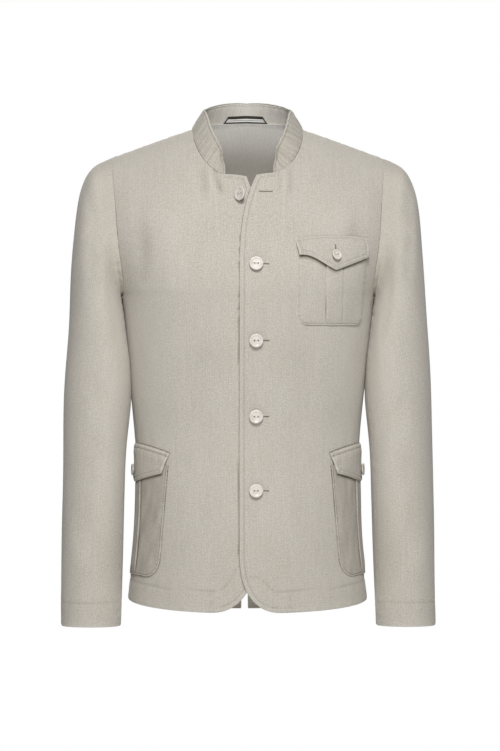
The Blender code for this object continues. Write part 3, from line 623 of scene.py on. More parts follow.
def front_grid(edge):
    """Girth and rise of a front panel between its four edges, crowded towards the turned ones, and how
    many of its columns end on the free edge above the collar's end."""
    centre = edge.corner_x - edge.past_centre
    foot, _ = locate(centre, HEM_SIDE_Z - HEM_FRONT_DROP)
    corner_low = CHEST_Z + hem_rise(foot)
    power = 2 / CORNER_SQUARE
    angle = np.linspace(0, math.pi / 2, DENSE)
    corner_x = centre - edge.corner_x * np.cos(angle).clip(0) ** power
    corner_z = corner_low + edge.corner_z * (1 - np.sin(angle) ** power)
    corner = np.stack(locate(corner_x, corner_z), -1)
    edge_z = np.linspace(corner_low + edge.corner_z, edge.top_z, 2 * DENSE)
    opening = np.clip((edge_z - edge.open_z) / (edge.top_z - edge.open_z), 0, 1) ** edge.open_power
    edge_x = -edge.past_centre + (edge.top_x + edge.past_centre) * opening
    straight = np.stack(locate(edge_x, edge_z), -1)
    middle = DENSE // 2
    upright = joined(corner[: middle + 1][::-1], straight)
    chest = np.searchsorted(upright[:, 1], CHEST_ROW_Z - CHEST_Z)
    low_rows, high_rows = steps_to(96, 1.25), steps_to(62, 1.45, at_end=True)
    left = joined(spread(upright[: chest + 1], low_rows), spread(upright[chest:], high_rows))
    v = joined(0.5 * low_rows, 0.5 + 0.5 * high_rows)
    edge_steps, neck_steps, tip_steps = steps_to(54, 1.15), steps_to(34), steps_to(36, 1.3, at_end=True)
    u = joined(
        EDGE_SHARE * edge_steps,
        EDGE_SHARE + (NECK_SHARE - EDGE_SHARE) * neck_steps,
        NECK_SHARE + (1 - NECK_SHARE) * tip_steps,
    )
    hem_girth = np.linspace(foot, SEAM_GIRTH, DENSE)
    hem = np.stack([hem_girth, hem_rise(hem_girth)], -1)
    neck = front_neck()
    top = joined(
        spread(np.linspace(upright[-1], neck[0], DENSE), edge_steps),
        spread(neck, neck_steps),
        spread(shoulder_seam(back=False), tip_steps),
    )
    bottom = spread(joined(corner[middle:], hem), u)
    right = joined(spread(side_seam(), low_rows), spread(armhole(back=False), high_rows))
    return fill(bottom, right, top, left, u, v), len(edge_steps)


REACH_STEPS = 24


def reach_round(girth, rise):
    """Real distance round the cloth from the centre front: the sum of small steps at each rise."""
    line = np.stack([body(girth * share, rise) for share in np.linspace(0, 1, REACH_STEPS + 1)])
    return np.sign(girth) * np.linalg.norm(np.diff(line, axis=0), axis=-1).sum(0)


PATH_POINTS = 60


def through(places, count=PATH_POINTS):
    """Smooth lines through the columns of a list of places, each read at as many even steps."""
    knots = np.arange(len(places))
    return [spline(knots, part, np.linspace(0, knots[-1], count)) for part in zip(*places)]


def seen_path(*places):
    """A smooth path on the front through places given as x and z seen from the front."""
    return body(*locate(*through(places)))


FRONT_CREASES = {
    # three places on the path as x and z, depth of the trough (a ridge where it is below zero), half width
    "front_left": (
        Crease((0.0445, -0.058), (0.0445, -0.076), (0.0425, -0.100), 0.0026, 0.0036),
        Crease((0.0520, -0.058), (0.0515, -0.078), (0.0490, -0.108), -0.0015, 0.0050),
        Crease((0.0600, -0.054), (0.0600, -0.078), (0.0570, -0.112), 0.0014, 0.0050),
        Crease((0.1555, -0.432), (0.1550, -0.446), (0.1540, -0.460), 0.0013, 0.0034),
        Crease((0.1400, -0.436), (0.1405, -0.449), (0.1410, -0.463), 0.0012, 0.0034),
        Crease((0.155, -0.120), (0.148, -0.175), (0.150, -0.235), 0.0016, 0.0110),
        Crease((0.135, -0.110), (0.131, -0.150), (0.132, -0.180), -0.0008, 0.0110),
        Crease((0.060, -0.330), (0.085, -0.352), (0.120, -0.362), 0.0004, 0.0140),
        Crease((0.040, -0.470), (0.052, -0.540), (0.060, -0.610), -0.0004, 0.0160),
    ),
    "front_right": (
        Crease((0.0510, -0.056), (0.0470, -0.074), (0.0395, -0.100), 0.0030, 0.0038),
        Crease((0.0590, -0.052), (0.0560, -0.076), (0.0500, -0.110), -0.0017, 0.0052),
        Crease((0.0690, -0.048), (0.0665, -0.076), (0.0620, -0.114), 0.0014, 0.0055),
        Crease((0.1560, -0.434), (0.1550, -0.447), (0.1545, -0.460), 0.0013, 0.0034),
        Crease((0.1420, -0.436), (0.1415, -0.450), (0.1420, -0.464), 0.0012, 0.0036),
        Crease((0.158, -0.120), (0.150, -0.175), (0.152, -0.235), 0.0016, 0.0110),
        Crease((0.120, -0.120), (0.112, -0.190), (0.108, -0.260), -0.0008, 0.0150),
        Crease((0.050, -0.320), (0.078, -0.345), (0.115, -0.352), 0.0003, 0.0140),
        Crease((0.070, -0.440), (0.078, -0.520), (0.082, -0.600), -0.0004, 0.0170),
    ),
}
FRONT_STITCH_IN, NECK_STITCH_IN = 0.0062, 0.0045
STITCHED_ROUND, STITCHED_FADE = 0.075, 0.020
TURN_UP, FACING_WIDE = 0.030, 0.0560
FACING_SEEN, HEM_STEP_AT = (TURN_UP + 0.003, TURN_UP - 0.006), (TURN_UP - 0.001, TURN_UP + 0.0015)
HEM_STEP, HEM_GROOVE, FACING_GROOVE = Mark(-0.00035, 0.03), Mark(-0.00055, 0.0014), Mark(-0.00055, 0.0012)
FRONT_EDGE_THICKER, SEAM_THICKER = Mark(0.0008, 0.008), Mark(0.0022, 0.0025)
FRONT_HANG = Hang(0.00075, 0.16, (0.004, 0.045))
FRONT_EDGE_PALE, CREASE_PAINTED_LIGHT = 0.60, 110.0
STITCH_SHADE, HEM_SHADE, FACING_EDGE_SHADE = Mark(-0.27, 0.0008), Mark(-0.22, 0.0012), Mark(-0.22, 0.0011)
FRONT_DOWN_SHADE, FRONT_DOWN_Z = 0.07, (-0.46, -0.64)
LAP_SHADE, LAP_SHADE_X = 0.85, (-0.0015, -0.0003, 0.008, 0.012)
LAP_SHADE_Z = (-0.684, -0.670, -0.086, -0.074)
ARMHOLE_SHADE, UNDER_ARM_Z = Mark(0.9, 0.0014), (-0.275, -0.252, -0.215, -0.150)
SIDE_PAINTED_LIGHT, SIDE_PALE_IN = 0.26, 0.02
SIDE_PALE_X, SIDE_PALE_Z = (0.105, 0.150), (-0.56, -0.46, -0.28, -0.21)
RIM_SHADE, RIM_SHADE_IN = -0.7, (0.002, 0.006)
Shell = namedtuple("Shell", "piece sewing outer normal")
fronts = {}
for name, edge in FRONT_EDGES.items():
    places, edge_columns = front_grid(edge)
    girth, rise = np.moveaxis(places, -1, 0)
    points, way = body(girth, rise), body_normal(girth, rise)
    points = raised(points, edge.lift * smooth_step(*LAP_X, points[..., 0]), way)
    x, z = points[..., 0], points[..., 2]
    neck_edge = points[-1, :edge_columns][::-1]
    free = evenly(joined(neck_edge, points[::-1, 0], points[0]))
    gap, along = nearest(points, free)
    seam_gap, seam_along = nearest(points, evenly(joined(points[-1, edge_columns - 1 :], points[::-1, -1])))
    hem_gap, _ = nearest(points, evenly(points[0]))
    round_way = reach_round(girth, rise)
    stitched_to = run_of(free)[-1] - run_of(points[0])[-1] + STITCHED_ROUND
    stitched = smooth_step(stitched_to + STITCHED_FADE, stitched_to, along)
    in_turn_up = smooth_step(*FACING_SEEN, hem_gap)
    folds = creased(points, FRONT_CREASES[name], seen_path)

    out = turned_edge(gap, along, FRONT_STITCH_IN, seed=11 + edge.side) * stitched
    out += streak(gap, 0, FREE_ROLL) * (1 - stitched) + folds
    out += seam_edge(seam_gap, seam_along, seed=21 + edge.side)
    out += streak(hem_gap, TURN_UP, HEM_STEP) * smooth_step(*HEM_STEP_AT, hem_gap)
    out += streak(hem_gap, TURN_UP, HEM_GROOVE) + streak(round_way, FACING_WIDE, FACING_GROOVE) * in_turn_up
    out += hung(round_way, rise, np.minimum(gap, seam_gap), FRONT_HANG, seed=31 + edge.side)
    outer = raised(points, out, way)
    deep = BODY_WALL + streak(gap, 0, FRONT_EDGE_THICKER) + streak(seam_gap, 0, SEAM_THICKER)

    # Paler edges are wear and a painted highlight; painted shade lies in the stitch groove, along the turn-up
    # and at the facing's edge.
    wear_and_painted_light = edge_wear_and_highlight(gap, FRONT_EDGE_PALE) + streak(gap, FRONT_STITCH_IN, STITCH_SHADE) * stitched
    wear_and_painted_light += streak(hem_gap, TURN_UP, HEM_SHADE)
    wear_and_painted_light += streak(round_way, FACING_WIDE, FACING_EDGE_SHADE) * in_turn_up
    # Painted shade in the creases' troughs, painted highlight on their ridges, and painted shade darker
    # towards the hem.
    wear_and_painted_light += CREASE_PAINTED_LIGHT * folds - FRONT_DOWN_SHADE * smooth_step(*FRONT_DOWN_Z, z)
    # Painted shadow on the right front along the left front's lapped edge, whose line the left front keeps
    # here.
    if name == "front_left":
        lap_edge = points[:, 0]
    else:
        under_lap = -x - np.interp(z, lap_edge[:, 2], lap_edge[:, 0])
        wear_and_painted_light -= LAP_SHADE * between(under_lap, *LAP_SHADE_X) * between(z, *LAP_SHADE_Z)
    # Painted shade along the armhole seam under the arm, a painted highlight on the side beside the arm, and
    # painted shade on the free rims.
    under_arm = between(z, *UNDER_ARM_Z)
    wear_and_painted_light -= under_arm * streak(seam_gap, 0, ARMHOLE_SHADE)
    by_arm = smooth_step(*SIDE_PALE_X, x) * between(z, *SIDE_PALE_Z) * smooth_step(0, SIDE_PALE_IN, seam_gap)
    wear_and_painted_light += SIDE_PAINTED_LIGHT * by_arm
    rim_shade = RIM_SHADE * np.maximum(smooth_step(*RIM_SHADE_IN, seam_gap), under_arm)
    weave = np.stack([round_way, rise], -1)
    piece = sew(name, outer, way, deep, weave, wear_and_painted_light, mirrored=edge.side < 0, rim_shade=rim_shade)

    normal = grid_normal(outer)
    edge_line = evenly(joined(points[::-1, 0], points[0]))
    edge_line = edge_line[run_of(edge_line) < run_of(points[:, 0])[-1] + STITCHED_ROUND]
    lines = ((edge_line, FRONT_STITCH_IN), (neck_edge, NECK_STITCH_IN))
    rows = [inset(line, outer, normal, by) for line, by in lines]
    sewing = stitches(f"{name}_topstitching", rows, edge.side < 0)
    fronts[name] = Shell(piece, sewing, outer, normal)

# Backs. Two more linen panels, joined by a centre back seam that opens below the waist into a vent
# with turned edges. They carry the soft drag lines that a hung back takes between the shoulder blades.
BACK_NECK_RISE = 0.2165
VENT_TOP_Z, VENT_HALF_GAP, VENT_POWER = -0.480, 0.0056, 0.7
SEAM_GAP = 0.0003


def back_neck():
    """Neck seam of the back, a cosine from the centre back round to the shoulder seam."""
    end = shoulder_seam(back=True)[0]
    angle = np.linspace(0, math.pi / 2, DENSE)
    girth = 2 + (end[0] - 2) * np.sin(angle)
    return np.stack([girth, end[1] + (BACK_NECK_RISE - end[1]) * np.cos(angle)], -1)


def back_grid():
    """Girth and rise of a back panel, from the side seam to the centre back, with the shares of each."""
    rise = np.linspace(hem_rise(np.array(2.0)), BACK_NECK_RISE, 2 * DENSE)
    vent = np.clip((VENT_TOP_Z - CHEST_Z - rise) / (VENT_TOP_Z - CHEST_Z - rise[0]), 0, 1)
    gap = SEAM_GAP / 2 + VENT_HALF_GAP * vent**VENT_POWER
    speed = 3 * column(LEVELS, "square", rise) * column(LEVELS, "half_width", rise)
    centre = np.stack([2 - gap / speed, rise], -1)
    chest = np.searchsorted(rise, CHEST_ROW_Z - CHEST_Z)
    low_rows, high_rows = steps_to(84, 1.2), steps_to(56, 1.4, at_end=True)
    right = joined(spread(centre[: chest + 1], low_rows), spread(centre[chest:], high_rows))
    neck = back_neck()[::-1]
    neck[-1] = centre[-1]
    tip_steps, neck_steps = steps_to(40, 1.3), steps_to(44, 1.35, at_end=True)
    top = joined(spread(shoulder_seam(back=True)[::-1], tip_steps), spread(neck, neck_steps))
    u, v = joined(0.5 * tip_steps, 0.5 + 0.5 * neck_steps), joined(0.5 * low_rows, 0.5 + 0.5 * high_rows)
    hem_girth = np.linspace(SEAM_GIRTH, centre[0, 0], DENSE)
    bottom = spread(np.stack([hem_girth, hem_rise(hem_girth)], -1), u)
    bottom[-1] = centre[0]
    left = joined(spread(side_seam(), low_rows), spread(armhole(back=True), high_rows))
    return fill(bottom, right, top, left, u, v), u, v


def body_path(*places):
    """A smooth path on the body through places given as girth and rise."""
    return body(*through(places))


BACK_CREASES = {
    # three places on the path as girth and rise, depth, half width
    "left": (
        Crease((1.36, -0.010), (1.55, 0.050), (1.82, 0.085), 0.0022, 0.0085),
        Crease((1.36, -0.045), (1.55, 0.005), (1.80, 0.035), -0.0018, 0.0100),
        Crease((1.35, 0.030), (1.41, 0.110), (1.45, 0.190), 0.0024, 0.0085),
        Crease((1.25, -0.180), (1.55, -0.206), (1.92, -0.190), 0.0022, 0.0085),
        Crease((1.28, -0.225), (1.60, -0.243), (1.88, -0.232), -0.0018, 0.0095),
        Crease((1.70, -0.260), (1.74, -0.360), (1.77, -0.460), -0.0018, 0.0150),
        Crease((1.06, -0.050), (1.16, -0.110), (1.22, -0.180), 0.0020, 0.0090),
    ),
    "right": (
        Crease((1.36, -0.020), (1.56, 0.036), (1.84, 0.066), 0.0022, 0.0090),
        Crease((1.35, 0.040), (1.42, 0.118), (1.47, 0.200), 0.0023, 0.0085),
        Crease((1.36, -0.058), (1.56, -0.018), (1.82, 0.004), -0.0018, 0.0100),
        Crease((1.24, -0.206), (1.52, -0.190), (1.90, -0.205), 0.0021, 0.0085),
        Crease((1.32, -0.166), (1.62, -0.150), (1.90, -0.160), -0.0017, 0.0100),
        Crease((1.60, -0.270), (1.66, -0.370), (1.70, -0.465), -0.0018, 0.0150),
        Crease((1.05, -0.060), (1.15, -0.120), (1.21, -0.200), 0.0019, 0.0090),
    ),
}
BACK_SEAM_DEEPER, BACK_HEM_GROOVE = 1.7, Mark(-0.00030, 0.0012)
BACK_HANG = Hang(0.0008, 0.17, (0.004, 0.045))
BACK_EDGE_THICKER = Mark(0.0007, 0.008)
BACK_EDGE_PALE, BACK_CREASE_PAINTED_LIGHT = 0.35, 58.0
BACK_SEAM_SHADE, BACK_HEM_SHADE = Mark(-0.45, 0.0011), Mark(-0.20, 0.0012)
SIDES = (("left", 1), ("right", -1))
back_places, back_u, back_v = back_grid()
girth, rise = np.moveaxis(back_places, -1, 0)
points, way = body(girth, rise), body_normal(girth, rise)
vent_rows = points[:, -1, 2] < VENT_TOP_Z
gap, _ = nearest(points, evenly(joined(points[vent_rows, -1][::-1], points[0, ::-1])))
sewn = evenly(joined(points[~vent_rows, -1], points[-1, ::-1], points[::-1, 0]))
seam_gap, seam_along = nearest(points, sewn)
hem_gap, _ = nearest(points, evenly(points[0]))
round_way = reach_round(girth, rise)
deep = BODY_WALL + streak(gap, 0, BACK_EDGE_THICKER) + streak(seam_gap, 0, SEAM_THICKER)
for side, number in SIDES:
    folds = creased(points, BACK_CREASES[side], body_path)
    out = streak(gap, 0, FREE_ROLL) + streak(hem_gap, TURN_UP, BACK_HEM_GROOVE) + folds
    out += BACK_SEAM_DEEPER * seam_edge(seam_gap, seam_along, seed=41 + number)
    out += hung(round_way, rise, np.minimum(gap, seam_gap), BACK_HANG, seed=51 + number)
    # Paler edges are wear and a painted highlight; painted shade along the centre seam, at the turn-up and in
    # the creases' troughs, with painted highlight on their ridges.
    wear_and_painted_light = edge_wear_and_highlight(gap, BACK_EDGE_PALE) + streak(seam_gap, 0, BACK_SEAM_SHADE)
    wear_and_painted_light += streak(hem_gap, TURN_UP, BACK_HEM_SHADE) + BACK_CREASE_PAINTED_LIGHT * folds
    weave = np.stack([round_way, rise], -1)
    piece = sew(f"back_{side}", raised(points, out, way), way, deep, weave, wear_and_painted_light, mirrored=number < 0)

# Sleeves. Each is cut in two, an upper and an under sleeve, sewn along the front and back of the arm
# and set into the armhole with a little ease over the cap. The cuff is a plain hem held by one row.
SLEEVE_WALL, SLEEVE_CLEAR = 0.0013, -0.0022
SIDE_GIRTHS = (0.5, 1.5)
FRONT_ARM_SEAM, BACK_ARM_SEAM = 156.0, 250.0
Ring = namedtuple("Ring", "x_out z_out x_in z_in y_mid half_depth")
SLEEVE_RINGS = (
    # outer x and z, inner x and z, middle y, half depth
    Ring(0.2248, -0.0565, 0.0, -0.2540, 0.002, 0.0655),
    Ring(0.2395, -0.0810, 0.0, -0.2640, -0.001, 0.0670),
    Ring(0.2477, -0.1200, 0.0, -0.2800, -0.007, 0.0680),
    Ring(0.2533, -0.1850, 0.0, -0.3050, -0.013, 0.0665),
    Ring(0.2584, -0.2600, 0.0, -0.3400, -0.018, 0.0630),
    Ring(0.2637, -0.3550, 0.1695, -0.3900, -0.021, 0.0580),
    Ring(0.2668, -0.4500, 0.1755, -0.4600, -0.023, 0.0545),
    Ring(0.2680, -0.5300, 0.1780, -0.5350, -0.026, 0.0520),
    Ring(0.2690, -0.6250, 0.1810, -0.6260, -0.034, 0.0470),
    Ring(0.2697, -0.7158, 0.1835, -0.7158, -0.045, 0.0430),
)


def armhole_loop(angles):
    """Points of the armhole at angles round it: 0 at the shoulder tip, 180 at its lowest point."""
    loop = joined(armhole(back=False)[::-1], armhole(back=True))
    points = body(*loop.T)
    run = run_of(points)
    turn = np.interp(run, [0, run[np.argmin(points[:, 2])], run[-1]], [0, 180, 360])
    return dealt(points, turn, np.mod(angles, 360))


def sleeve(rows, angles):
    """Sleeve cloth at ring numbers and angles: tilted ovals from the armhole down, joined by splines.
    Beside the body, an oval's inner end lies on the body's side."""
    turn = np.radians(angles)[:, None]
    rings = [armhole_loop(angles)]
    for ring in SLEEVE_RINGS:
        x_in = ring.x_in
        if ring.z_in > HEM_SIDE_Z:
            side = body(np.linspace(*SIDE_GIRTHS, DENSE), ring.z_in - CHEST_Z)
            x_in = max(x_in, np.interp(ring.y_mid, side[:, 1], side[:, 0]) + SLEEVE_CLEAR)
        outside = np.array([ring.x_out, ring.y_mid, ring.z_out])
        inside = np.array([x_in, ring.y_mid, ring.z_in])
        deep = np.array([0, -ring.half_depth, 0])
        rings.append((outside + inside) / 2 + (outside - inside) / 2 * np.cos(turn) + deep * np.sin(turn))
    return spline(np.arange(len(rings)), np.array(rings), rows)


def off_body(points):
    """How far points lie outside the body's own cloth in x: the cloth's x at the same y and z, found by
    halving its girth, taken from theirs."""
    rise = np.clip(points[..., 2] - CHEST_Z, LEVELS[0].rise, 0)
    low, high = np.full(rise.shape, SIDE_GIRTHS[0]), np.full(rise.shape, SIDE_GIRTHS[1])
    for _ in range(HALVINGS // 2):
        middle = (low + high) / 2
        before = body(middle, rise)[..., 1] < points[..., 1]
        low, high = np.where(before, middle, low), np.where(before, high, middle)
    return points[..., 0] - body(low, rise)[..., 0]


SLEEVE_PATH_POINTS = 50


def sleeve_path(*places):
    """A smooth path on the sleeve through places given as ring number and angle."""
    return np.moveaxis(np.diagonal(sleeve(*through(places, SLEEVE_PATH_POINTS))), -1, 0)


def cloth_map(points):
    """Weave map of a grid: lengths along its rows and up its columns, in metres."""
    across = np.cumsum(np.linalg.norm(np.diff(points, axis=1, prepend=points[:, :1]), axis=-1), axis=1)
    up = np.cumsum(np.linalg.norm(np.diff(points, axis=0, prepend=points[:1]), axis=-1), axis=0)
    return np.stack([across, up], -1)


Span = namedtuple("Span", "to count power at_end", defaults=(1.0, False))


def spaced(start, *spans):
    """Places from a start through the end of each span, in as many steps, crowded by the span's power."""
    ends = [start] + [span.to for span in spans]
    parts = [
        begin + (span.to - begin) * steps_to(span.count, span.power, span.at_end)
        for begin, span in zip(ends, spans)
    ]
    return joined(*parts)


SLEEVE_CREASES = {
    # three places on the path as ring number and angle, depth, half width
    "left": (
        Crease((1.6, 40), (3.0, 62), (4.2, 78), 0.0018, 0.010),
        Crease((1.8, 22), (3.2, 44), (4.4, 58), -0.0013, 0.012),
        Crease((2.2, 96), (3.6, 112), (5.0, 130), 0.0014, 0.010),
        Crease((6.0, 75), (6.4, 108), (6.7, 140), 0.0015, 0.009),
        Crease((6.5, 66), (6.9, 100), (7.2, 135), -0.0012, 0.010),
        Crease((7.2, 84), (7.6, 112), (7.9, 142), 0.0011, 0.010),
        Crease((2.0, -30), (4.0, -62), (5.5, -84), 0.0016, 0.012),
        Crease((6.2, -50), (6.8, -78), (7.3, -100), 0.0013, 0.011),
        Crease((8.4, 30), (9.0, 70), (9.4, 110), -0.0008, 0.013),
    ),
    "right": (
        Crease((1.5, 56), (3.0, 74), (4.3, 86), 0.0014, 0.010),
        Crease((1.8, 30), (3.4, 48), (4.8, 56), -0.0011, 0.012),
        Crease((2.4, 100), (3.8, 116), (5.2, 132), 0.0014, 0.010),
        Crease((5.8, 70), (6.2, 104), (6.4, 140), 0.0013, 0.010),
        Crease((6.8, 80), (7.2, 110), (7.4, 140), 0.0013, 0.009),
        Crease((6.4, 72), (6.7, 100), (6.9, 130), -0.0010, 0.010),
        Crease((2.2, -36), (4.1, -66), (5.8, -86), 0.0016, 0.012),
        Crease((6.0, -52), (6.6, -80), (7.1, -102), 0.0012, 0.011),
        Crease((8.2, 24), (8.8, 60), (9.3, 100), -0.0008, 0.013),
    ),
}
CUFF_STITCH_IN = 0.0350
CUFF_GROOVE, CUFF_PUCKER = Mark(-0.00050, 0.0012), Mark(0.00025, 0.009)
CUFF_GROOVE_EVEN, CUFF_GROOVE_WAVE, CUFF_PUCKER_WAVE = 0.8, 0.007, 0.014
CUFF_THICKER, SLEEVE_SEAM_THICKER = Mark(0.0007, 0.008), Mark(0.0020, 0.0025)
SLEEVE_HANG = Hang(0.0008, 0.15, (0.004, 0.03))
CUFF_PALE, CUFF_SHADE, SLEEVE_CREASE_PAINTED_LIGHT = 0.8, Mark(-0.22, 0.0010), 70.0
PRESSED_SHADE, PRESSED_Y, PRESSED_Z = Mark(1.0, 0.0013), -0.02, (-0.500, -0.420, -0.225, -0.150)
ARMPIT, ARMPIT_SHADE = np.array((0.1815, -0.0320, -0.2450)), Mark(1.0, 0.013)
SLEEVE_PAINTED_LIGHT, SLEEVE_PALE_ANGLES, SLEEVE_PALE_Z = 0.32, (84, 124, 150, 164), (-0.62, -0.50, -0.26, -0.19)
SLEEVE_DOWN_SHADE, SLEEVE_DOWN_Z, SLEEVE_SIDE_SHADE = 0.10, (-0.30, -0.60), Mark(0.13, 34)
ring_rows = spaced(10, Span(9.1, 34, 1.25), Span(1.5, 92), Span(0, 26, 1.4, True))
upper_shares = spaced(0, Span(0.20, 24, 1.1), Span(0.94, 52), Span(1, 8, 1.3, True))
under_shares = spaced(0, Span(0.15, 8, 1.3), Span(0.85, 18), Span(1, 8, 1.3, True))
upper_angles = FRONT_ARM_SEAM + (BACK_ARM_SEAM - 360 - FRONT_ARM_SEAM) * upper_shares
under_angles = BACK_ARM_SEAM + (FRONT_ARM_SEAM - BACK_ARM_SEAM) * under_shares
for part, angles, sewn_to in (
    ("upper", upper_angles, ("front_{}", "back_{}")),
    ("under", under_angles, ("sleeve_{}_upper",)),
):
    points = sleeve(ring_rows, angles)
    y, z = points[..., 1], points[..., 2]
    way, weave = grid_normal(points), cloth_map(points)
    cuff = evenly(points[0])
    gap, along = nearest(points, cuff)
    seam_gap, seam_along = nearest(points, evenly(joined(points[:, 0], points[-1], points[::-1, -1])))
    deep = SLEEVE_WALL + streak(gap, 0, CUFF_THICKER) + streak(seam_gap, 0, SLEEVE_SEAM_THICKER)
    # Painted shade where the sleeve meets the body, and at the armpit.
    shade_by_body = streak(off_body(points), 0, PRESSED_SHADE) * between(z, *PRESSED_Z) * (y < PRESSED_Y)
    if part == "under":
        shade_by_body = np.maximum(shade_by_body, streak(np.linalg.norm(points - ARMPIT, axis=-1), 0, ARMPIT_SHADE))
    # Painted highlight on the side towards the body, painted shade on the outer side and darker towards the
    # cuff.
    towards_body = between(angles, *SLEEVE_PALE_ANGLES) * between(z, *SLEEVE_PALE_Z)
    tone = SLEEVE_PAINTED_LIGHT * towards_body * (1 - shade_by_body) - shade_by_body - streak(angles, 0, SLEEVE_SIDE_SHADE)
    tone -= SLEEVE_DOWN_SHADE * smooth_step(*SLEEVE_DOWN_Z, z)
    for side, number in SIDES:
        folds = creased(points, SLEEVE_CREASES[side], sleeve_path)
        groove = CUFF_GROOVE_EVEN + (1 - CUFF_GROOVE_EVEN) * wander(along, CUFF_GROOVE_WAVE, seed=62)
        pucker = wander(along, CUFF_PUCKER_WAVE, seed=63 + number)
        out = streak(gap, 0, FREE_ROLL) + seam_edge(seam_gap, seam_along, seed=61 + number) + folds
        out += streak(gap, CUFF_STITCH_IN, CUFF_GROOVE) * groove
        out += streak(gap, CUFF_STITCH_IN, CUFF_PUCKER) * pucker
        out += hung(*np.moveaxis(weave, -1, 0), np.minimum(gap, seam_gap), SLEEVE_HANG, seed=64 + number)
        outer = raised(points, out, way)
        # Paler cuff edge is wear and a painted highlight; painted shade in the stitch groove and the creases'
        # troughs, painted highlight on their ridges.
        wear_and_painted_light = edge_wear_and_highlight(gap, CUFF_PALE) + streak(gap, CUFF_STITCH_IN, CUFF_SHADE)
        wear_and_painted_light += SLEEVE_CREASE_PAINTED_LIGHT * folds + tone
        name = f"sleeve_{side}_{part}"
        piece = sew(name, outer, way, deep, weave, wear_and_painted_light, mirrored=number < 0)
        rows = [inset(cuff, outer, grid_normal(outer), CUFF_STITCH_IN)]
        sewing = stitches(f"{name}_cuff_stitching", rows, number < 0)

# Collar. A band of two layers of linen with a light stiffener, standing on the neck seam and leaning in.
# Its ends are rounded and set back from the front edges. It is edge-stitched all round, so it ripples.
CollarPlace = namedtuple("CollarPlace", "share height lean")
COLLAR_PLACES = (
    # share of the way from the front end to the centre back, height of the band, degrees that it leans in
    CollarPlace(0.00, 0.0300, 38.0),
    CollarPlace(0.30, 0.0325, 37.0),
    CollarPlace(0.58, 0.0352, 36.0),
    CollarPlace(0.80, 0.0345, 26.0),
    CollarPlace(1.00, 0.0290, 5.0),
)
COLLAR_END_HEIGHT, COLLAR_END_ROUND, COLLAR_END_POWER = 0.0130, 0.0200, 1.6
COLLAR_SQUARE_BY, COLLAR_SOFTEN = 0.0750, 30


def soften(vectors, reach):
    """Directions along a line, each the mean of its neighbours within reach, with the ends held."""
    padded = np.concatenate([np.repeat(vectors[:1], reach, 0), vectors, np.repeat(vectors[-1:], reach, 0)])
    total = np.cumsum(np.concatenate([np.zeros((1, 3)), padded]), axis=0)
    return unit(total[2 * reach + 1 :] - total[: -2 * reach - 1])


def collar_frame():
    """Base of the collar from its left end round to its right, with its upward and outward directions,
    heights, lengths along it and shares of the way to the centre back."""
    front, back = spread(front_neck(), steps_to(127, 1.2)), spread(back_neck(), steps_to(111))
    half = body(*joined(front, back[::-1]).T)
    base = joined(half, half[::-1] * (-1, 1, 1))
    along = soften(unit(np.gradient(base, axis=0)), COLLAR_SOFTEN)
    inward = unit(np.stack([-along[:, 1], along[:, 0], np.zeros(len(base))], -1))
    upright = np.cross(along, inward)
    run = run_of(base)
    share = 1 - np.abs(2 * run / run[-1] - 1)
    lean = np.radians(column(COLLAR_PLACES, "lean", share))[:, None]
    band = np.cos(lean) * upright + np.sin(lean) * inward
    from_end = share * run[-1] / 2
    squared = -band[0, 0] / along[0, 0] * smooth_step(COLLAR_SQUARE_BY, 0, from_end)
    band = raised(band, squared * np.sign(run[-1] / 2 - run), along)
    into_end = 1 - np.clip(from_end / COLLAR_END_ROUND, 0, 1)
    rounded = (1 - into_end**COLLAR_END_POWER) ** (1 / COLLAR_END_POWER)
    height = COLLAR_END_HEIGHT + (column(COLLAR_PLACES, "height", share) - COLLAR_END_HEIGHT) * rounded
    outward = np.cos(lean) * -inward + np.sin(lean) * upright
    return base, band, outward, height, run, share


COLLAR_WALL, COLLAR_EDGE_THINNER = 0.0024, Mark(-0.0011, 0.006)
COLLAR_STITCH_IN, COLLAR_TUCK, COLLAR_BELLY = 0.0026, -0.05, 0.0007
COLLAR_RIPPLES = ((0.00045, 0.012, 71), (0.00062, 0.0040, 72))
RIPPLE_SLANT, RIPPLE_FULL_HEIGHT, RIPPLE_LESS, RIPPLE_LESS_SHARE = 0.35, 0.03, 0.7, (0.50, 0.75)
COLLAR_BASE_SINK, COLLAR_BASE_GROOVE = Mark(-0.0012, 0.0014), Mark(-0.0006, 0.0009)
COLLAR_EDGE_PALE, COLLAR_STITCH_SHADE = Mark(0.45, 0.0009), Mark(-0.40, 0.0008)
COLLAR_BASE_SHADE, COLLAR_BASE_PALE, COLLAR_BASE_PALE_IN = Mark(-0.60, 0.0010), Mark(0.30, 0.0008), 0.0020
COLLAR_RIPPLE_PAINTED_LIGHT, COLLAR_SHADE, COLLAR_RIM_SHADE = 150.0, 0.11, -0.22
COLLAR_INSIDE_PALE_SHARE = (0.36, 0.56)
base, band, outward, height, run, share = collar_frame()
band_shares = spaced(0, Span(0.2, 8, 1.2), Span(0.8, 10), Span(1, 12, 1.4, True))
band_shares = np.append(COLLAR_TUCK, band_shares)[:, None]
up_band = height * band_shares
points = raised(base, up_band, band)
free = evenly(joined(points[1:, 0], points[-1], points[:0:-1, -1]))
gap, along = nearest(points, free)
base_gap = np.abs(up_band)
slant = run + RIPPLE_SLANT * up_band
ripple = sum(depth * wander(slant, wave, seed) for depth, wave, seed in COLLAR_RIPPLES)
ripple = ripple * (1 - RIPPLE_LESS * smooth_step(*RIPPLE_LESS_SHARE, share))
out = turned_edge(gap, along, COLLAR_STITCH_IN, seed=73)
out += ripple * np.clip(height / RIPPLE_FULL_HEIGHT, 0, 1)
out += COLLAR_BELLY * np.sin(math.pi * np.clip(band_shares, 0, 1))
out += streak(base_gap, 0, COLLAR_BASE_SINK) + streak(base_gap, COLLAR_STITCH_IN, COLLAR_BASE_GROOVE)
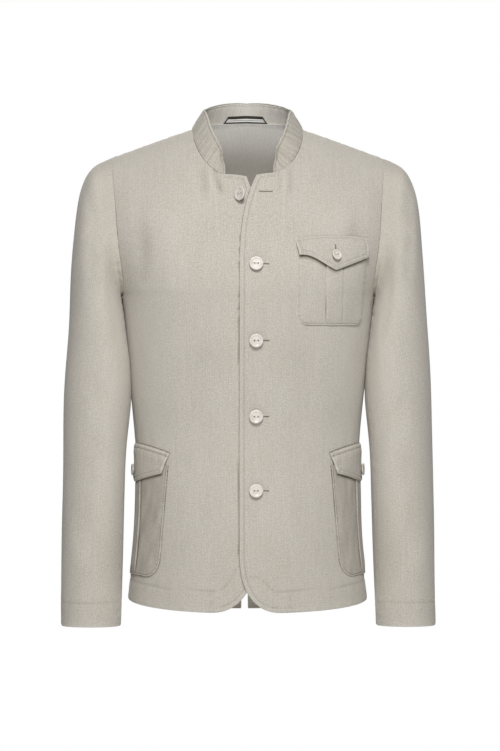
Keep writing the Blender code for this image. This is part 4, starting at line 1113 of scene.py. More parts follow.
outer = raised(points, out, outward)
deep = COLLAR_WALL + streak(gap, 0, COLLAR_EDGE_THINNER)
# Paler edge is wear and a painted highlight; painted shade in the stitch groove and at the neck seam with a
# painted highlight beside it, painted shade and highlight on the ripples, and a little painted shade over the
# whole collar.
wear_and_painted_light = streak(gap, 0, COLLAR_EDGE_PALE) + streak(gap, COLLAR_STITCH_IN, COLLAR_STITCH_SHADE)
wear_and_painted_light += streak(base_gap, 0, COLLAR_BASE_SHADE) + streak(base_gap, COLLAR_BASE_PALE_IN, COLLAR_BASE_PALE)
wear_and_painted_light += COLLAR_RIPPLE_PAINTED_LIGHT * ripple - COLLAR_SHADE
# Painted highlight on the inside of the collar towards the back.
inside_painted_light = np.broadcast_to(smooth_step(*COLLAR_INSIDE_PALE_SHARE, share), wear_and_painted_light.shape)
weave = np.stack(np.broadcast_arrays(run, up_band), -1)
piece = sew("collar", outer, outward, deep, weave, wear_and_painted_light, rim_shade=COLLAR_RIM_SHADE, inner_wear_and_painted_light=inside_painted_light)
normal = grid_normal(outer)
rows = [inset(line, outer, normal, COLLAR_STITCH_IN) for line in (free[::-1], evenly(points[1]))]
sewing = stitches("collar_stitching", rows)

# Back neck facing. A curved piece of the same linen that hangs from the neck seam and lies against the
# inside of the back lower down. Its linen is painted paler than the outside at the neck, and painted shade
# darkens it below.
FACING_WALL, FACING_OFF = 0.0012, 0.0019
FACING_LEAN, FACING_EASE = math.radians(24), 0.25
FACING_LIFT, FACING_ON_COLLAR, FACING_ON_COLLAR_X = 0.0002, 0.0010, (0.074, 0.062)
FACING_FROM_U, FACING_FROM_V = 0.2857, 0.75
FACING_HANG, FACING_HANG_BY = Hang(0.0005, 0.12, (0.0, 0.02)), 0.03
FACING_SHADE, FACING_SHADE_BY, FACING_RIM_SHADE = 0.66, 0.062, -0.8


def below_top(points):
    """A grid's edge but for its top: down its first column, along its first row, up its last column."""
    return evenly(joined(points[::-1, 0], points[0], points[:, -1]))


# Paler tones than the outside linen: the same cloth painted lighter for the inside.
INSIDE_TONES = ((0.725, 0.702, 0.655), (0.870, 0.845, 0.795), (0.90, 0.88, 0.84))
linen_inside = linen("lit_and_shaded_linen", *INSIDE_TONES, contrast=0.9)
half = back_places[back_v >= FACING_FROM_V][:, back_u >= FACING_FROM_U]
middle = half[:, -1:] * (0, 1) + (2, 0)
whole = np.concatenate([half[:, :-1], middle, half[:, -2::-1] * (-1, 1) + (4, 0)], axis=1)
girth, rise = np.moveaxis(whole, -1, 0)
points = skin(girth, rise, -BODY_WALL - FACING_OFF)
drop = np.maximum(points[-1, :, 2] - points[..., 2], 0)
hang, ease = points[-1, :, 1] + math.tan(FACING_LEAN) * drop, FACING_EASE * drop
points[..., 1] = (points[..., 1] + hang - np.hypot(points[..., 1] - hang, ease)) / 2
way = grid_normal(points)
gap, _ = nearest(points, below_top(points))
out = hung(points[..., 0], points[..., 2], gap, FACING_HANG, seed=81) * smooth_step(0, FACING_HANG_BY, drop)
outer = raised(points, out, way)
behind = base[:, 1] > RIDGE_Y - RIDGE_FORWARD * NECK_X
order = np.argsort(base[behind, 0])
near_base, near_band, near_out = (part[behind][order] for part in (base, band, outward))


def inside_collar(x):
    """Base, upward and outward directions of the collar's back at any x, read along its base, and how
    far the base has sunk there below its middle."""
    near = [dealt(part, near_base[:, 0], x) for part in (near_base, near_band, near_out)]
    return *near, np.interp(0, near_base[:, 0], near_base[:, 2]) - near[0][..., 2]


on_base, on_band, on_out, sunk = inside_collar(points[-1, :, 0])
top_edge = raised(on_base, FACING_LIFT + sunk, on_band) - on_out * (COLLAR_WALL + FACING_ON_COLLAR)
on_collar = smooth_step(*FACING_ON_COLLAR_X, np.abs(points[-1, :, :1]))
outer[-1] = outer[-1] * (1 - on_collar) + top_edge * on_collar
# Painted shade, darker the further the facing drops below the neck seam.
wear_and_painted_light = -FACING_SHADE * smooth_step(0, FACING_SHADE_BY, drop)
piece = sew(
    "back_neck_facing", outer, way, FACING_WALL, cloth_map(points), wear_and_painted_light, linen_inside, "linen_inside",
    rim_shade=FACING_RIM_SHADE,
)

# Hanger loop. A flat woven ribbon sewn to the inside of the collar's back, with its ends turned under
# on the slant. It is striped lengthwise, dark at both edges and pale between, with one thin line.
LOOP_HALF_TOP, LOOP_HALF_BOTTOM, LOOP_SHIFT = 0.0248, 0.0343, -0.0018
LOOP_LOW, LOOP_HIGH, LOOP_WALL = -0.0010, 0.0112, 0.0010
LOOP_OFF, LOOP_STAND, LOOP_WAVE, LOOP_WAVES = 0.0006, 0.0016, 0.0003, 2.5
LOOP_ROWS, LOOP_COLUMNS, LOOP_ENDS = 13, 41, (0.90, 0.95)
RIBBON_DARK, RIBBON_PALE = (0.040, 0.036, 0.022, 1), (0.98, 0.97, 0.95, 1)
RIBBON_STRIPES = (
    # share of the height that a stripe starts from, its colour
    (0.0, RIBBON_DARK),
    (0.31, RIBBON_PALE),
    (0.47, RIBBON_DARK),
    (0.52, RIBBON_PALE),
    (0.68, RIBBON_DARK),
)


def ribbon_finish():
    """Striped ribbon by its weave map: V picks the stripe from a stepped ramp, fine ribs run across, and
    the attribute of wear and painted light darkens the ends."""
    material, add, shade = node_maker("striped_ribbon")
    weave = add("UVMap", {}, uv_map="weave")["UV"]
    stripes = add("ValToRGB", {"Fac": add("SeparateXYZ", {"Vector": weave})["Y"]})["Color"]
    ramp = stripes.node.color_ramp
    ramp.interpolation = "CONSTANT"
    for place, _ in RIBBON_STRIPES[2:]:
        ramp.elements.new(place)
    for element, (place, colour) in zip(ramp.elements, RIBBON_STRIPES):
        element.position = place
        element.color = colour
    ends = add("Attribute", {}, attribute_name="wear_and_painted_light")["Fac"]
    bound = add("Mix", {"Factor": ends, "A": stripes, "B": RIBBON_DARK}, data_type="RGBA")["Result"]
    ribs = add("TexWave", {"Vector": weave, "Scale": 260.0}, wave_type="BANDS", bands_direction="X")
    inputs = {"Factor": 0.12, "A": bound, "B": ribs["Color"]}
    rubbed = add("Mix", inputs, data_type="RGBA", blend_type="MULTIPLY")["Result"]
    bump = add("Bump", {"Height": ribs["Fac"], "Strength": 0.3, "Distance": 0.0003})["Normal"]
    shade({"Base Color": rubbed, "Normal": bump, "Roughness": 0.6})
    return material


high, across = np.linspace(0, 1, LOOP_ROWS)[:, None], np.linspace(-1, 1, LOOP_COLUMNS)[None, :]
at_x = LOOP_SHIFT + across * (LOOP_HALF_BOTTOM + (LOOP_HALF_TOP - LOOP_HALF_BOTTOM) * high)
on_base, on_band, on_out, sunk = inside_collar(at_x)
bulge = LOOP_STAND * np.cos(across * math.pi / 2) + LOOP_WAVE * np.sin(LOOP_WAVES * math.pi * across)
stand = COLLAR_WALL + LOOP_OFF + bulge * high + LOOP_WALL
outer = raised(on_base, sunk + LOOP_LOW + (LOOP_HIGH - LOOP_LOW) * high, on_band)
outer = raised(outer, stand, -on_out)
weave = np.stack(np.broadcast_arrays(at_x, high), -1)
ends = np.broadcast_to(smooth_step(*LOOP_ENDS, np.abs(across)), at_x.shape)
striped = ribbon_finish()
piece = sew("hanger_loop", outer, -on_out, LOOP_WALL, weave, ends, striped, slot="ribbon", kind="ribbon")

# Patch pockets. Linen bags with rounded lower corners, edge-stitched onto the fronts, with a box pleat
# down the middle: a raised strip between two pressed folds. One is on the chest, two at the sides.
Pocket = namedtuple(
    "Pocket",
    "flat top_rise bottom_rise tilt arch top_centre bottom_centre half_top half_bottom corner pleat_half "
    "pleat_shift raise_by shade edge_dark stitch_dark fold_wide fold_pale fold_dark back_fold_dark "
    "inside_dark pucker",
)
POCKETS = {
    # tilt is the slope of the top, arch its fall to the corners, raise_by a share of the stand-off
    "chest_pocket": Pocket(
        flat=Flat(0.116, 0.112, 0.0126), top_rise=0.060, bottom_rise=-0.0455, tilt=0.125, arch=0.0,
        top_centre=0.1217, bottom_centre=0.1232, half_top=0.0557, half_bottom=0.0569, corner=0.0155,
        pleat_half=0.0120, pleat_shift=-0.001, raise_by=1.0, shade=0.0, edge_dark=0.35, stitch_dark=0.325,
        fold_wide=0.0008, fold_pale=0.35, fold_dark=0.12, back_fold_dark=0.325, inside_dark=0.0, pucker=0.04,
    ),
    "lower_pocket": Pocket(
        flat=Flat(0.162, 0.168, 0.0257), top_rise=-0.240, bottom_rise=-0.403, tilt=0.0, arch=0.006,
        top_centre=0.2020, bottom_centre=0.2140, half_top=0.0800, half_bottom=0.0745, corner=0.028,
        pleat_half=0.0130, pleat_shift=-0.0085, raise_by=0.45, shade=0.30, edge_dark=0.85, stitch_dark=0.475,
        fold_wide=0.0015, fold_pale=0.25, fold_dark=0.80, back_fold_dark=0.575, inside_dark=0.45, pucker=0.10,
    ),
}
Flap = namedtuple(
    "Flap",
    "flat rise tilt low_tilt arch top_centre bottom_centre half_top half_bottom side_drop point_drop bow "
    "button_drop button_radius button_look top_stitch clear shade edge_pale top_dark top_stitch_dark pucker",
)
FLAPS = {
    # tilt and low_tilt are the slopes of the top and the lower edge, arch the top's fall to the sides,
    # bow the lower edge's hollow, clear the stand-off below
    "chest_flap": Flap(
        flat=Flat(0.113, 0.054, 0.0048), rise=0.0765, tilt=-0.110, low_tilt=-0.055, arch=0.0028,
        top_centre=0.1190, bottom_centre=0.1223, half_top=0.0550, half_bottom=0.0528, side_drop=0.0204,
        point_drop=0.0405, bow=0.0040, button_drop=0.0240, button_radius=0.0080,
        button_look=(0.30, 0.0, 0.20), top_stitch=0.0040, clear=0.0050, shade=0.0, edge_pale=0.7975,
        top_dark=0.15, top_stitch_dark=0.175, pucker=0.0195,
    ),
    "lower_flap": Flap(
        flat=Flat(0.168, 0.060, 0.0077), rise=-0.2140, tilt=0.0, low_tilt=0.0, arch=0.013,
        top_centre=0.2020, bottom_centre=0.2040, half_top=0.0825, half_bottom=0.0725, side_drop=0.0295,
        point_drop=0.0560, bow=0.0, button_drop=0.0385, button_radius=0.0088,
        button_look=(0.0, 0.0, 0.0), top_stitch=0.0062, clear=0.0022, shade=0.05, edge_pale=0.50,
        top_dark=1.0, top_stitch_dark=0.60, pucker=0.13,
    ),
}
FLAP_POINT_ROUND, FLAP_BOW_POWER = 0.02, 1.6


def flap_low(flap, across):
    """Drop of a flap's lower edge from its top: straight from each side to the point, which is rounded
    by a root of squares, less a bow on the front half, half a sine of a power of the way along."""
    side_drop = flap.side_drop + flap.arch
    to_point = 1 + FLAP_POINT_ROUND - np.hypot(across, FLAP_POINT_ROUND)
    bow = flap.bow * np.sin(math.pi * np.clip(-across, 0, 1) ** FLAP_BOW_POWER)
    tilted = flap.low_tilt * across * flap.half_bottom
    return tilted + side_drop + (flap.point_drop - side_drop) * to_point - bow


GIRTHS, RISES, LENGTHS = np.linspace(0, 2, 321), np.linspace(-0.48, 0.2, 137), np.linspace(0, 0.5, 401)


def girth_at(length, rise):
    """Girth reached by going a length round the cloth, read from a table of even lengths and rises."""
    steps = np.linalg.norm(np.diff(body(GIRTHS, RISES[:, None]), axis=1), axis=-1)
    runs = np.pad(np.cumsum(steps, axis=1), ((0, 0), (1, 0)))
    table = np.stack([np.interp(LENGTHS, run, GIRTHS) for run in runs])
    down, over = np.broadcast_arrays((rise - RISES[0]) / (RISES[1] - RISES[0]), length / LENGTHS[1])
    low, near = np.floor(down).astype(int), np.floor(over).astype(int)
    down, over = down - low, over - near
    below = table[low, near] * (1 - over) + table[low, near + 1] * over
    above = table[low + 1, near] * (1 - over) + table[low + 1, near + 1] * over
    return below * (1 - down) + above * down


def placed(name):
    """Node, front and side of each piece of a kind: the chest has one on the left, the skirt two."""
    if name.startswith("chest"):
        return [(name, "front_left", 1)]
    return [(f"{name}_{side}", f"front_{side}", number) for side, number in SIDES]


PATCH_OFF, PATCH_OFF_BY, PATCH_WALL, PATCH_REST = 0.0012, 0.006, 0.0013, 0.0002
POCKET_STITCH_IN, POCKET_EDGE = 0.0024, 0.8
POCKET_ROWS, POCKET_ROW_POWER, POCKET_COLUMNS = 141, 1.8, np.linspace(-0.92, 0.92, 34)
FOLD_COLUMNS = np.array([-0.0022, -0.0012, -0.0005, 0.0, 0.0005, 0.0012, 0.0022, 0.0034])
EDGE_COLUMNS = np.array([0, 0.0005, 0.0012, 0.0019, 0.0025, 0.0032, 0.0042, 0.0058])
PLEAT_RAISE, PLEAT_TURN, PLEAT_HELD, PLEAT_HELD_BY = 0.0016, 0.0007, 0.35, 0.018
PLEAT_SINK, PLEAT_SINK_OUT, PLEAT_FREE = Mark(-0.0007, 0.0009), 0.0012, 0.6
POCKET_HANG, POCKET_PUCKER_WAVE = Hang(0.0007, 0.09, (0.004, 0.02)), 0.024
POCKET_EDGE_PALE, POCKET_EDGE_PALE_IN = Mark(0.55, 0.0006), 0.0011
POCKET_EDGE_WIDE, POCKET_STITCH_WIDE = 0.0005, 0.0006
EDGE_DARK_LEAST, EDGE_DARK_WANDER, EDGE_DARK_WAVE = 0.75, 0.45, 0.045
EDGE_DARK_MOUTH, MOUTH_SHARE = 0.9, (0.50, 0.75)
FOLD_PALE_IN, FOLD_PALE_WIDE = -0.0005, 0.0008
FOLD_DARK_LOW, FOLD_LOW_SHARE, FOLD_DARK_OUT, FOLD_INSIDE_OUT = 0.55, (0.50, 0.25), 1.5, -2.2
FLAP_SHADE, FLAP_SHADE_LOW, FLAP_SHADE_ENDS, FLAP_EDGE_POINTS = Mark(1.0, 0.0027), 0.0008, (1.0, 0.98), 81
for name, pocket in POCKETS.items():
    tall = pocket.top_rise - pocket.bottom_rise
    share = np.linspace(0, 1, POCKET_ROWS)[:, None] ** POCKET_ROW_POWER
    centre = pocket.bottom_centre + (pocket.top_centre - pocket.bottom_centre) * share
    into_corner = np.clip(1 - tall * share / pocket.corner, 0, 1)
    half = pocket.half_bottom + (pocket.half_top - pocket.half_bottom) * share
    half = half - pocket.corner * (1 - np.sqrt(1 - into_corner**2))
    fold = pocket.pleat_half + FOLD_COLUMNS
    folds = np.concatenate([pocket.pleat_shift + fold, pocket.pleat_shift - fold]) / pocket.half_top
    close = (pocket.half_top - EDGE_COLUMNS) / pocket.half_top
    across_share = np.unique(np.concatenate([POCKET_COLUMNS, folds, close, -close]).round(5))
    across = across_share * half
    fall = pocket.arch * (across / pocket.half_top) ** 2
    rise = pocket.bottom_rise + (tall + pocket.tilt * across) * share - fall
    girth = girth_at(centre + across, rise)
    points, way = body(girth, rise), body_normal(girth, rise)
    free = below_top(points)
    gap, along = nearest(points, free)
    round_way = centre + across
    weave = np.stack(np.broadcast_arrays(round_way, rise), -1)

    from_middle = across_share * pocket.half_top - pocket.pleat_shift
    from_fold = np.abs(from_middle) - pocket.pleat_half
    held = PLEAT_HELD + (1 - PLEAT_HELD) * smooth_step(0, PLEAT_HELD_BY, tall * share)
    pleat = PLEAT_RAISE * smooth_step(PLEAT_TURN, -PLEAT_TURN, from_fold)
    pleat = held * (pleat + streak(from_fold, PLEAT_SINK_OUT, PLEAT_SINK))
    bag = PATCH_OFF * (1 - hump(gap, 0, PATCH_OFF_BY)) + (1 - PLEAT_FREE) * pleat
    out = PATCH_WALL + PATCH_REST + pocket.raise_by * bag + PLEAT_FREE * pleat
    out += POCKET_EDGE * turned_edge(gap, along, POCKET_STITCH_IN, seed=101)

    # Paler line inside the edge is wear and a painted highlight; painted shadow lies along the edge, unevenly
    # and more at the mouth, painted shade in the stitch groove, and painted shade over the lower pockets as a
    # whole.
    uneven = EDGE_DARK_LEAST + EDGE_DARK_WANDER * wander(along, EDGE_DARK_WAVE, seed=104)
    uneven += EDGE_DARK_MOUTH * smooth_step(*MOUTH_SHARE, share) * (across_share < 0)
    wear_and_painted_light = streak(gap, POCKET_EDGE_PALE_IN, POCKET_EDGE_PALE) - pocket.shade
    wear_and_painted_light -= pocket.edge_dark * uneven * hump(gap, 0, POCKET_EDGE_WIDE)
    wear_and_painted_light -= pocket.stitch_dark * hump(gap, POCKET_STITCH_IN, POCKET_STITCH_WIDE)
    # Painted highlight on the pleat's folds, painted shade beside them and inside the pleat.
    front_fold_dark = pocket.fold_dark + FOLD_DARK_LOW * smooth_step(*FOLD_LOW_SHARE, share)
    fold_dark = np.where(from_middle < 0, front_fold_dark, pocket.back_fold_dark)
    wear_and_painted_light += pocket.fold_pale * held * hump(from_fold, FOLD_PALE_IN, FOLD_PALE_WIDE)
    wear_and_painted_light -= fold_dark * held * hump(from_fold, FOLD_DARK_OUT * pocket.fold_wide, pocket.fold_wide)
    wear_and_painted_light -= pocket.inside_dark * held * hump(from_fold, FOLD_INSIDE_OUT * pocket.fold_wide, pocket.fold_wide)
    # Painted shadow of the flap on the pocket, just below the flap's lower edge.
    flap = FLAPS[name.replace("pocket", "flap")]
    flap_across = np.linspace(-1, 1, FLAP_EDGE_POINTS)
    flap_edge = flap.rise - flap_low(flap, flap_across)
    below = np.interp(round_way, flap.bottom_centre + flap_across * flap.half_bottom, flap_edge) - rise
    under_flap = smooth_step(*FLAP_SHADE_ENDS, np.abs(round_way - flap.bottom_centre) / flap.half_bottom)
    wear_and_painted_light -= under_flap * streak(below, FLAP_SHADE_LOW, FLAP_SHADE)
    for node, front, side in placed(name):
        outer = raised(points, out + hung(round_way, rise, gap, POCKET_HANG, seed=103 + side), way)
        # Painted shade and highlight of small puckers, with no relief of their own.
        pucker_shading = pocket.pucker * drift(round_way, rise, POCKET_PUCKER_WAVE, seed=105 + side)
        piece = sew(
            node, outer, way, PATCH_WALL, weave, wear_and_painted_light + pucker_shading, mirrored=side < 0, rim_shade=RIM_SHADE
        )
        rows = [inset(free, outer, grid_normal(outer), POCKET_STITCH_IN)]
        stitches(f"{node}_stitching", rows, side < 0)

# Pocket flaps. Two layers of linen bagged out to a point, sewn on above each pocket and turned down,
# so the top is a soft fold and the lower edge stands off. They are stitched round inside the edge.
FLAP_WALL, FLAP_OFF, FLAP_CLEAR_BY = 0.0020, 0.0009, 0.014
FLAP_STITCH_IN, FLAP_EDGE_FROM, FLAP_STITCH_FROM = 0.0050, 0.004, 0.006
FLAP_FOLD_SINK, FLAP_TOP_GROOVE = Mark(-0.0016, 0.0016), Mark(-0.0005, 0.0010)
FLAP_HANG = Hang(0.0007, 0.08, (0.0, 0.02))
FLAP_EDGE_WIDE, FLAP_FOLD_WIDE, FLAP_TOP_STITCH_WIDE = 0.0013, 0.0010, 0.0009
FLAP_FOLD_PALE, FLAP_FOLD_PALE_IN, FLAP_STITCH_SHADE = Mark(0.30, 0.0009), 0.0022, Mark(-0.12, 0.0009)
FLAP_PUCKER_WAVE, FLAP_PUCKER_IN, FLAP_PUCKER_WIDE = 0.0085, 0.010, 0.016
across = spaced(-1, Span(-0.9, 10, 1.3), Span(0.9, 54), Span(1, 10, 1.3, True))
down = 1 - spaced(0, Span(0.22, 12, 1.3), Span(0.78, 14), Span(1, 10, 1.3, True))[:, None]
flaps = {}
for name, flap in FLAPS.items():
    half = flap.half_top + (flap.half_bottom - flap.half_top) * down
    top, low = flap.tilt * across * half + flap.arch * across**2, flap_low(flap, across)
    rise = flap.rise - top + (top - low) * down
    round_way = flap.top_centre + (flap.bottom_centre - flap.top_centre) * down + across * half
    girth = girth_at(round_way, rise)
    points, way = body(girth, rise), body_normal(girth, rise)
    free = below_top(points)
    gap, along = nearest(points, free)
    top_gap, _ = nearest(points, evenly(points[-1]))
    off_top = smooth_step(0, FLAP_EDGE_FROM, top_gap)
    out = FLAP_OFF + FLAP_WALL + flap.clear * smooth_step(0, FLAP_CLEAR_BY, (low - top) * down)
    out += turned_edge(gap, along, FLAP_STITCH_IN, seed=111) * off_top
    out += streak(top_gap, 0, FLAP_FOLD_SINK) + streak(top_gap, flap.top_stitch, FLAP_TOP_GROOVE)
    # Paler edge is wear and a painted highlight; painted shade at the top fold and its stitching with a
    # painted highlight between, painted shade in the stitch groove and over the lower flaps as a whole.
    wear_and_painted_light = flap.edge_pale * hump(gap, 0, FLAP_EDGE_WIDE) * off_top - flap.shade
    wear_and_painted_light += streak(top_gap, FLAP_FOLD_PALE_IN, FLAP_FOLD_PALE)
    wear_and_painted_light -= flap.top_dark * hump(top_gap, 0, FLAP_FOLD_WIDE)
    wear_and_painted_light -= flap.top_stitch_dark * hump(top_gap, flap.top_stitch, FLAP_TOP_STITCH_WIDE)
    wear_and_painted_light += streak(gap, FLAP_STITCH_IN, FLAP_STITCH_SHADE) * smooth_step(0, FLAP_STITCH_FROM, top_gap)
    # Painted shade and highlight of small puckers below the top.
    flap_pucker_shading = flap.pucker * wander(round_way, FLAP_PUCKER_WAVE, seed=112)
    wear_and_painted_light += flap_pucker_shading * hump(top_gap, FLAP_PUCKER_IN, FLAP_PUCKER_WIDE)
    weave = np.stack([round_way, rise], -1)
    for node, front, side in placed(name):
        outer = raised(points, out + hung(round_way, rise, top_gap, FLAP_HANG, seed=113 + side), way)
        piece = sew(node, outer, way, FLAP_WALL, weave, wear_and_painted_light, mirrored=side < 0, rim_shade=RIM_SHADE)
        normal = grid_normal(outer)
        lines = ((free, FLAP_STITCH_IN), (points[-1, ::-1], flap.top_stitch))
        rows = [inset(line, outer, normal, by) for line, by in lines]
        sewing = stitches(f"{node}_stitching", rows, side < 0)
        flaps[node] = Shell(piece, sewing, outer, normal)

# Buttonholes. Each is a slit worked round with close bars of the same thread, level on the left front
# and upright on the flaps. A thin dark strip of painted shade stands for the opening of the slit.
BAR_PITCH, BAR_LENGTH, BAR_OUT = 0.00058, 0.0013, 0.00095
SLIT_WIDE, SLIT_UP = 0.00045, 0.00022
# A dark thread colour for the strip of painted shade that stands for the slit's opening.
slit_finish = thread_finish("buttonhole_slit", (0.10, 0.09, 0.075))


def buttonhole(name, start, stop, shell, mirrored=False):
    """Bars of thread square to a line on the cloth, in a row on each side of a narrow dark strip of painted
    shade.
    """
    line, way = lay_on(evenly(np.array([start, stop]), BAR_PITCH), shell.outer, shell.normal)
    aside = np.cross(way, unit(np.gradient(line, axis=0)))
    at = np.concatenate([line - BAR_OUT * aside, line + BAR_OUT * aside])
    along, up = unit(np.tile(aside, (2, 1))), unit(np.tile(way, (2, 1)))
    bars = stitch_mesh(f"{name}_bars", at, along, up, BAR_LENGTH, mirrored)
    strip = np.stack([line - SLIT_WIDE * aside, line + SLIT_WIDE * aside]) + SLIT_UP * way
    faces = quads(np.arange(2 * len(line)).reshape(2, -1))
    slit_shadow = put_mesh(f"{name}_slit", strip.reshape(-1, 3), [faces], slit_finish, mirrored=mirrored)
    return bars, finish_piece(slit_shadow, "linen")


BUTTON_LINE_X, FRONT_BUTTON_Z = 0.0078, (-0.1990, -0.3070, -0.4150, -0.5210)
HOLE_STEPS, TOP_HOLE = (0.0, 0.0185), ((0.0125, -0.0955), (0.0325, -0.0958))
holes = {
    f"buttonhole_{number}": [(BUTTON_LINE_X + step, z) for step in HOLE_STEPS]
    for number, z in enumerate(FRONT_BUTTON_Z, 1)
}
holes["buttonhole_top"] = TOP_HOLE
left, right = fronts["front_left"], fronts["front_right"]
worked = []
for name, places in holes.items():
    worked += buttonhole(name, *(skin(*locate(x, z), LAP_LIFT) for x, z in places), left)


def on_flap(flap, step):
    """Place on a flap's cloth that lies a step above its button, on the line from its top to its point."""
    rise = flap.rise - flap.button_drop + step
    down = flap.button_drop / flap.point_drop
    middle = flap.top_centre + (flap.bottom_centre - flap.top_centre) * down
    return skin(girth_at(middle, rise), rise, FLAP_OFF + FLAP_WALL + flap.clear)


FLAP_HOLE_STEPS = (0.0128, -0.0020)
for name, flap in FLAPS.items():
    for node, _, side in placed(name):
        ends = [on_flap(flap, step) for step in FLAP_HOLE_STEPS]
        buttonhole(f"{node}_buttonhole", *ends, flaps[node], side < 0)

# Buttons. Cream two-hole buttons turned with a raised rim and a dished face, sewn on with thread over a
# wound shank. Four fasten the front, the top one hangs undone and turned, and one closes each flap.
BUTTON_DISH = np.array([
    # share of the radius, share of the thickness, from the middle of the face out
    (0.0, 0.74), (0.40, 0.72), (0.50, 0.72), (0.58, 0.74),
])
BUTTON_RIM = np.array([
    # the same, from the edge of the dish over the rim to the back
    (0.58, 0.74), (0.66, 0.84), (0.72, 0.94), (0.78, 0.99), (0.84, 1.0), (0.90, 0.96), (0.95, 0.86),
    (0.985, 0.70), (1.0, 0.52), (0.985, 0.32), (0.94, 0.14), (0.86, 0.02), (0.70, 0.0), (0.40, 0.0),
    (0.17, 0.0),
])
DISH_STEPS, BUTTON_TURNS = np.linspace(0, 0.56, 19), 64
HOLE_APART, HOLE_RADIUS, HOLE_DEEP, HOLE_SOFT = 0.26, 0.098, 0.55, (1.15, 0.8)
BUTTON_EDGE_DARK, BUTTON_EDGE_HIGH, BUTTON_EDGE_OUT = 0.62, (0.75, 0.45), (0.90, 0.98)
BUTTON_BACK_DARK, BUTTON_BACK_HIGH = 0.35, (0.45, 0.15)
SHANK, SHANK_RADIUS, SHANK_RIBS, BUTTON_GAP = 0.0014, 0.0017, 0.12, 0.0004
SHANK_FROM, SHANK_PAST = 0.10, 0.12
THREAD_RADIUS, THREAD_STEPS, THREAD_SIDES = 0.00017, 13, 8
THREAD_SHIFTS = (-0.022, 0.022)
THREAD_HIGH, THREAD_ARCH, THREAD_ARCH_POWER = 0.74, 0.13, 4
THREAD_DIP, THREAD_DIP_POWER = 0.45, 14


def button_finish():
    """Cream shell: broad noise between two creams on Object coordinates, mixed towards dark brown by the
    attribute of wear and painted light, which holds painted shade, with fine noise as bump under a soft
    gloss."""
    material, add, shade = node_maker("cream_button")
    place = add("TexCoord", {})["Object"]
    clouds = add("TexNoise", {"Vector": place, "Scale": 190.0, "Detail": 4.0})["Fac"]
    cream = add("ValToRGB", {"Fac": clouds})["Color"]
    tones = ((0.34, (0.72, 0.66, 0.58, 1)), (0.68, (0.88, 0.85, 0.80, 1)))
    for element, (position, colour) in zip(cream.node.color_ramp.elements, tones):
        element.position = position
        element.color = colour
    wear_and_painted_light = add("Attribute", {}, attribute_name="wear_and_painted_light")["Fac"]
    holed = add("Mix", {"Factor": wear_and_painted_light, "A": cream, "B": (0.12, 0.07, 0.025, 1)}, data_type="RGBA")["Result"]
    fine = add("TexNoise", {"Vector": place, "Scale": 900.0})["Fac"]
    bump = add("Bump", {"Height": fine, "Strength": 0.08, "Distance": 0.0003})["Normal"]
    shade({"Base Color": holed, "Normal": bump, "Roughness": 0.33, "Coat Weight": 0.15})
    return material


cream_button = button_finish()
button_thread = thread_finish("cream_thread", (0.80, 0.76, 0.70))


def ring_numbers(count, sides):
    """Point numbers of rings of points, with the first of each ring again at its end."""
    index = np.arange(count * sides).reshape(count, sides)
    return np.concatenate([index, index[:, :1]], axis=1)


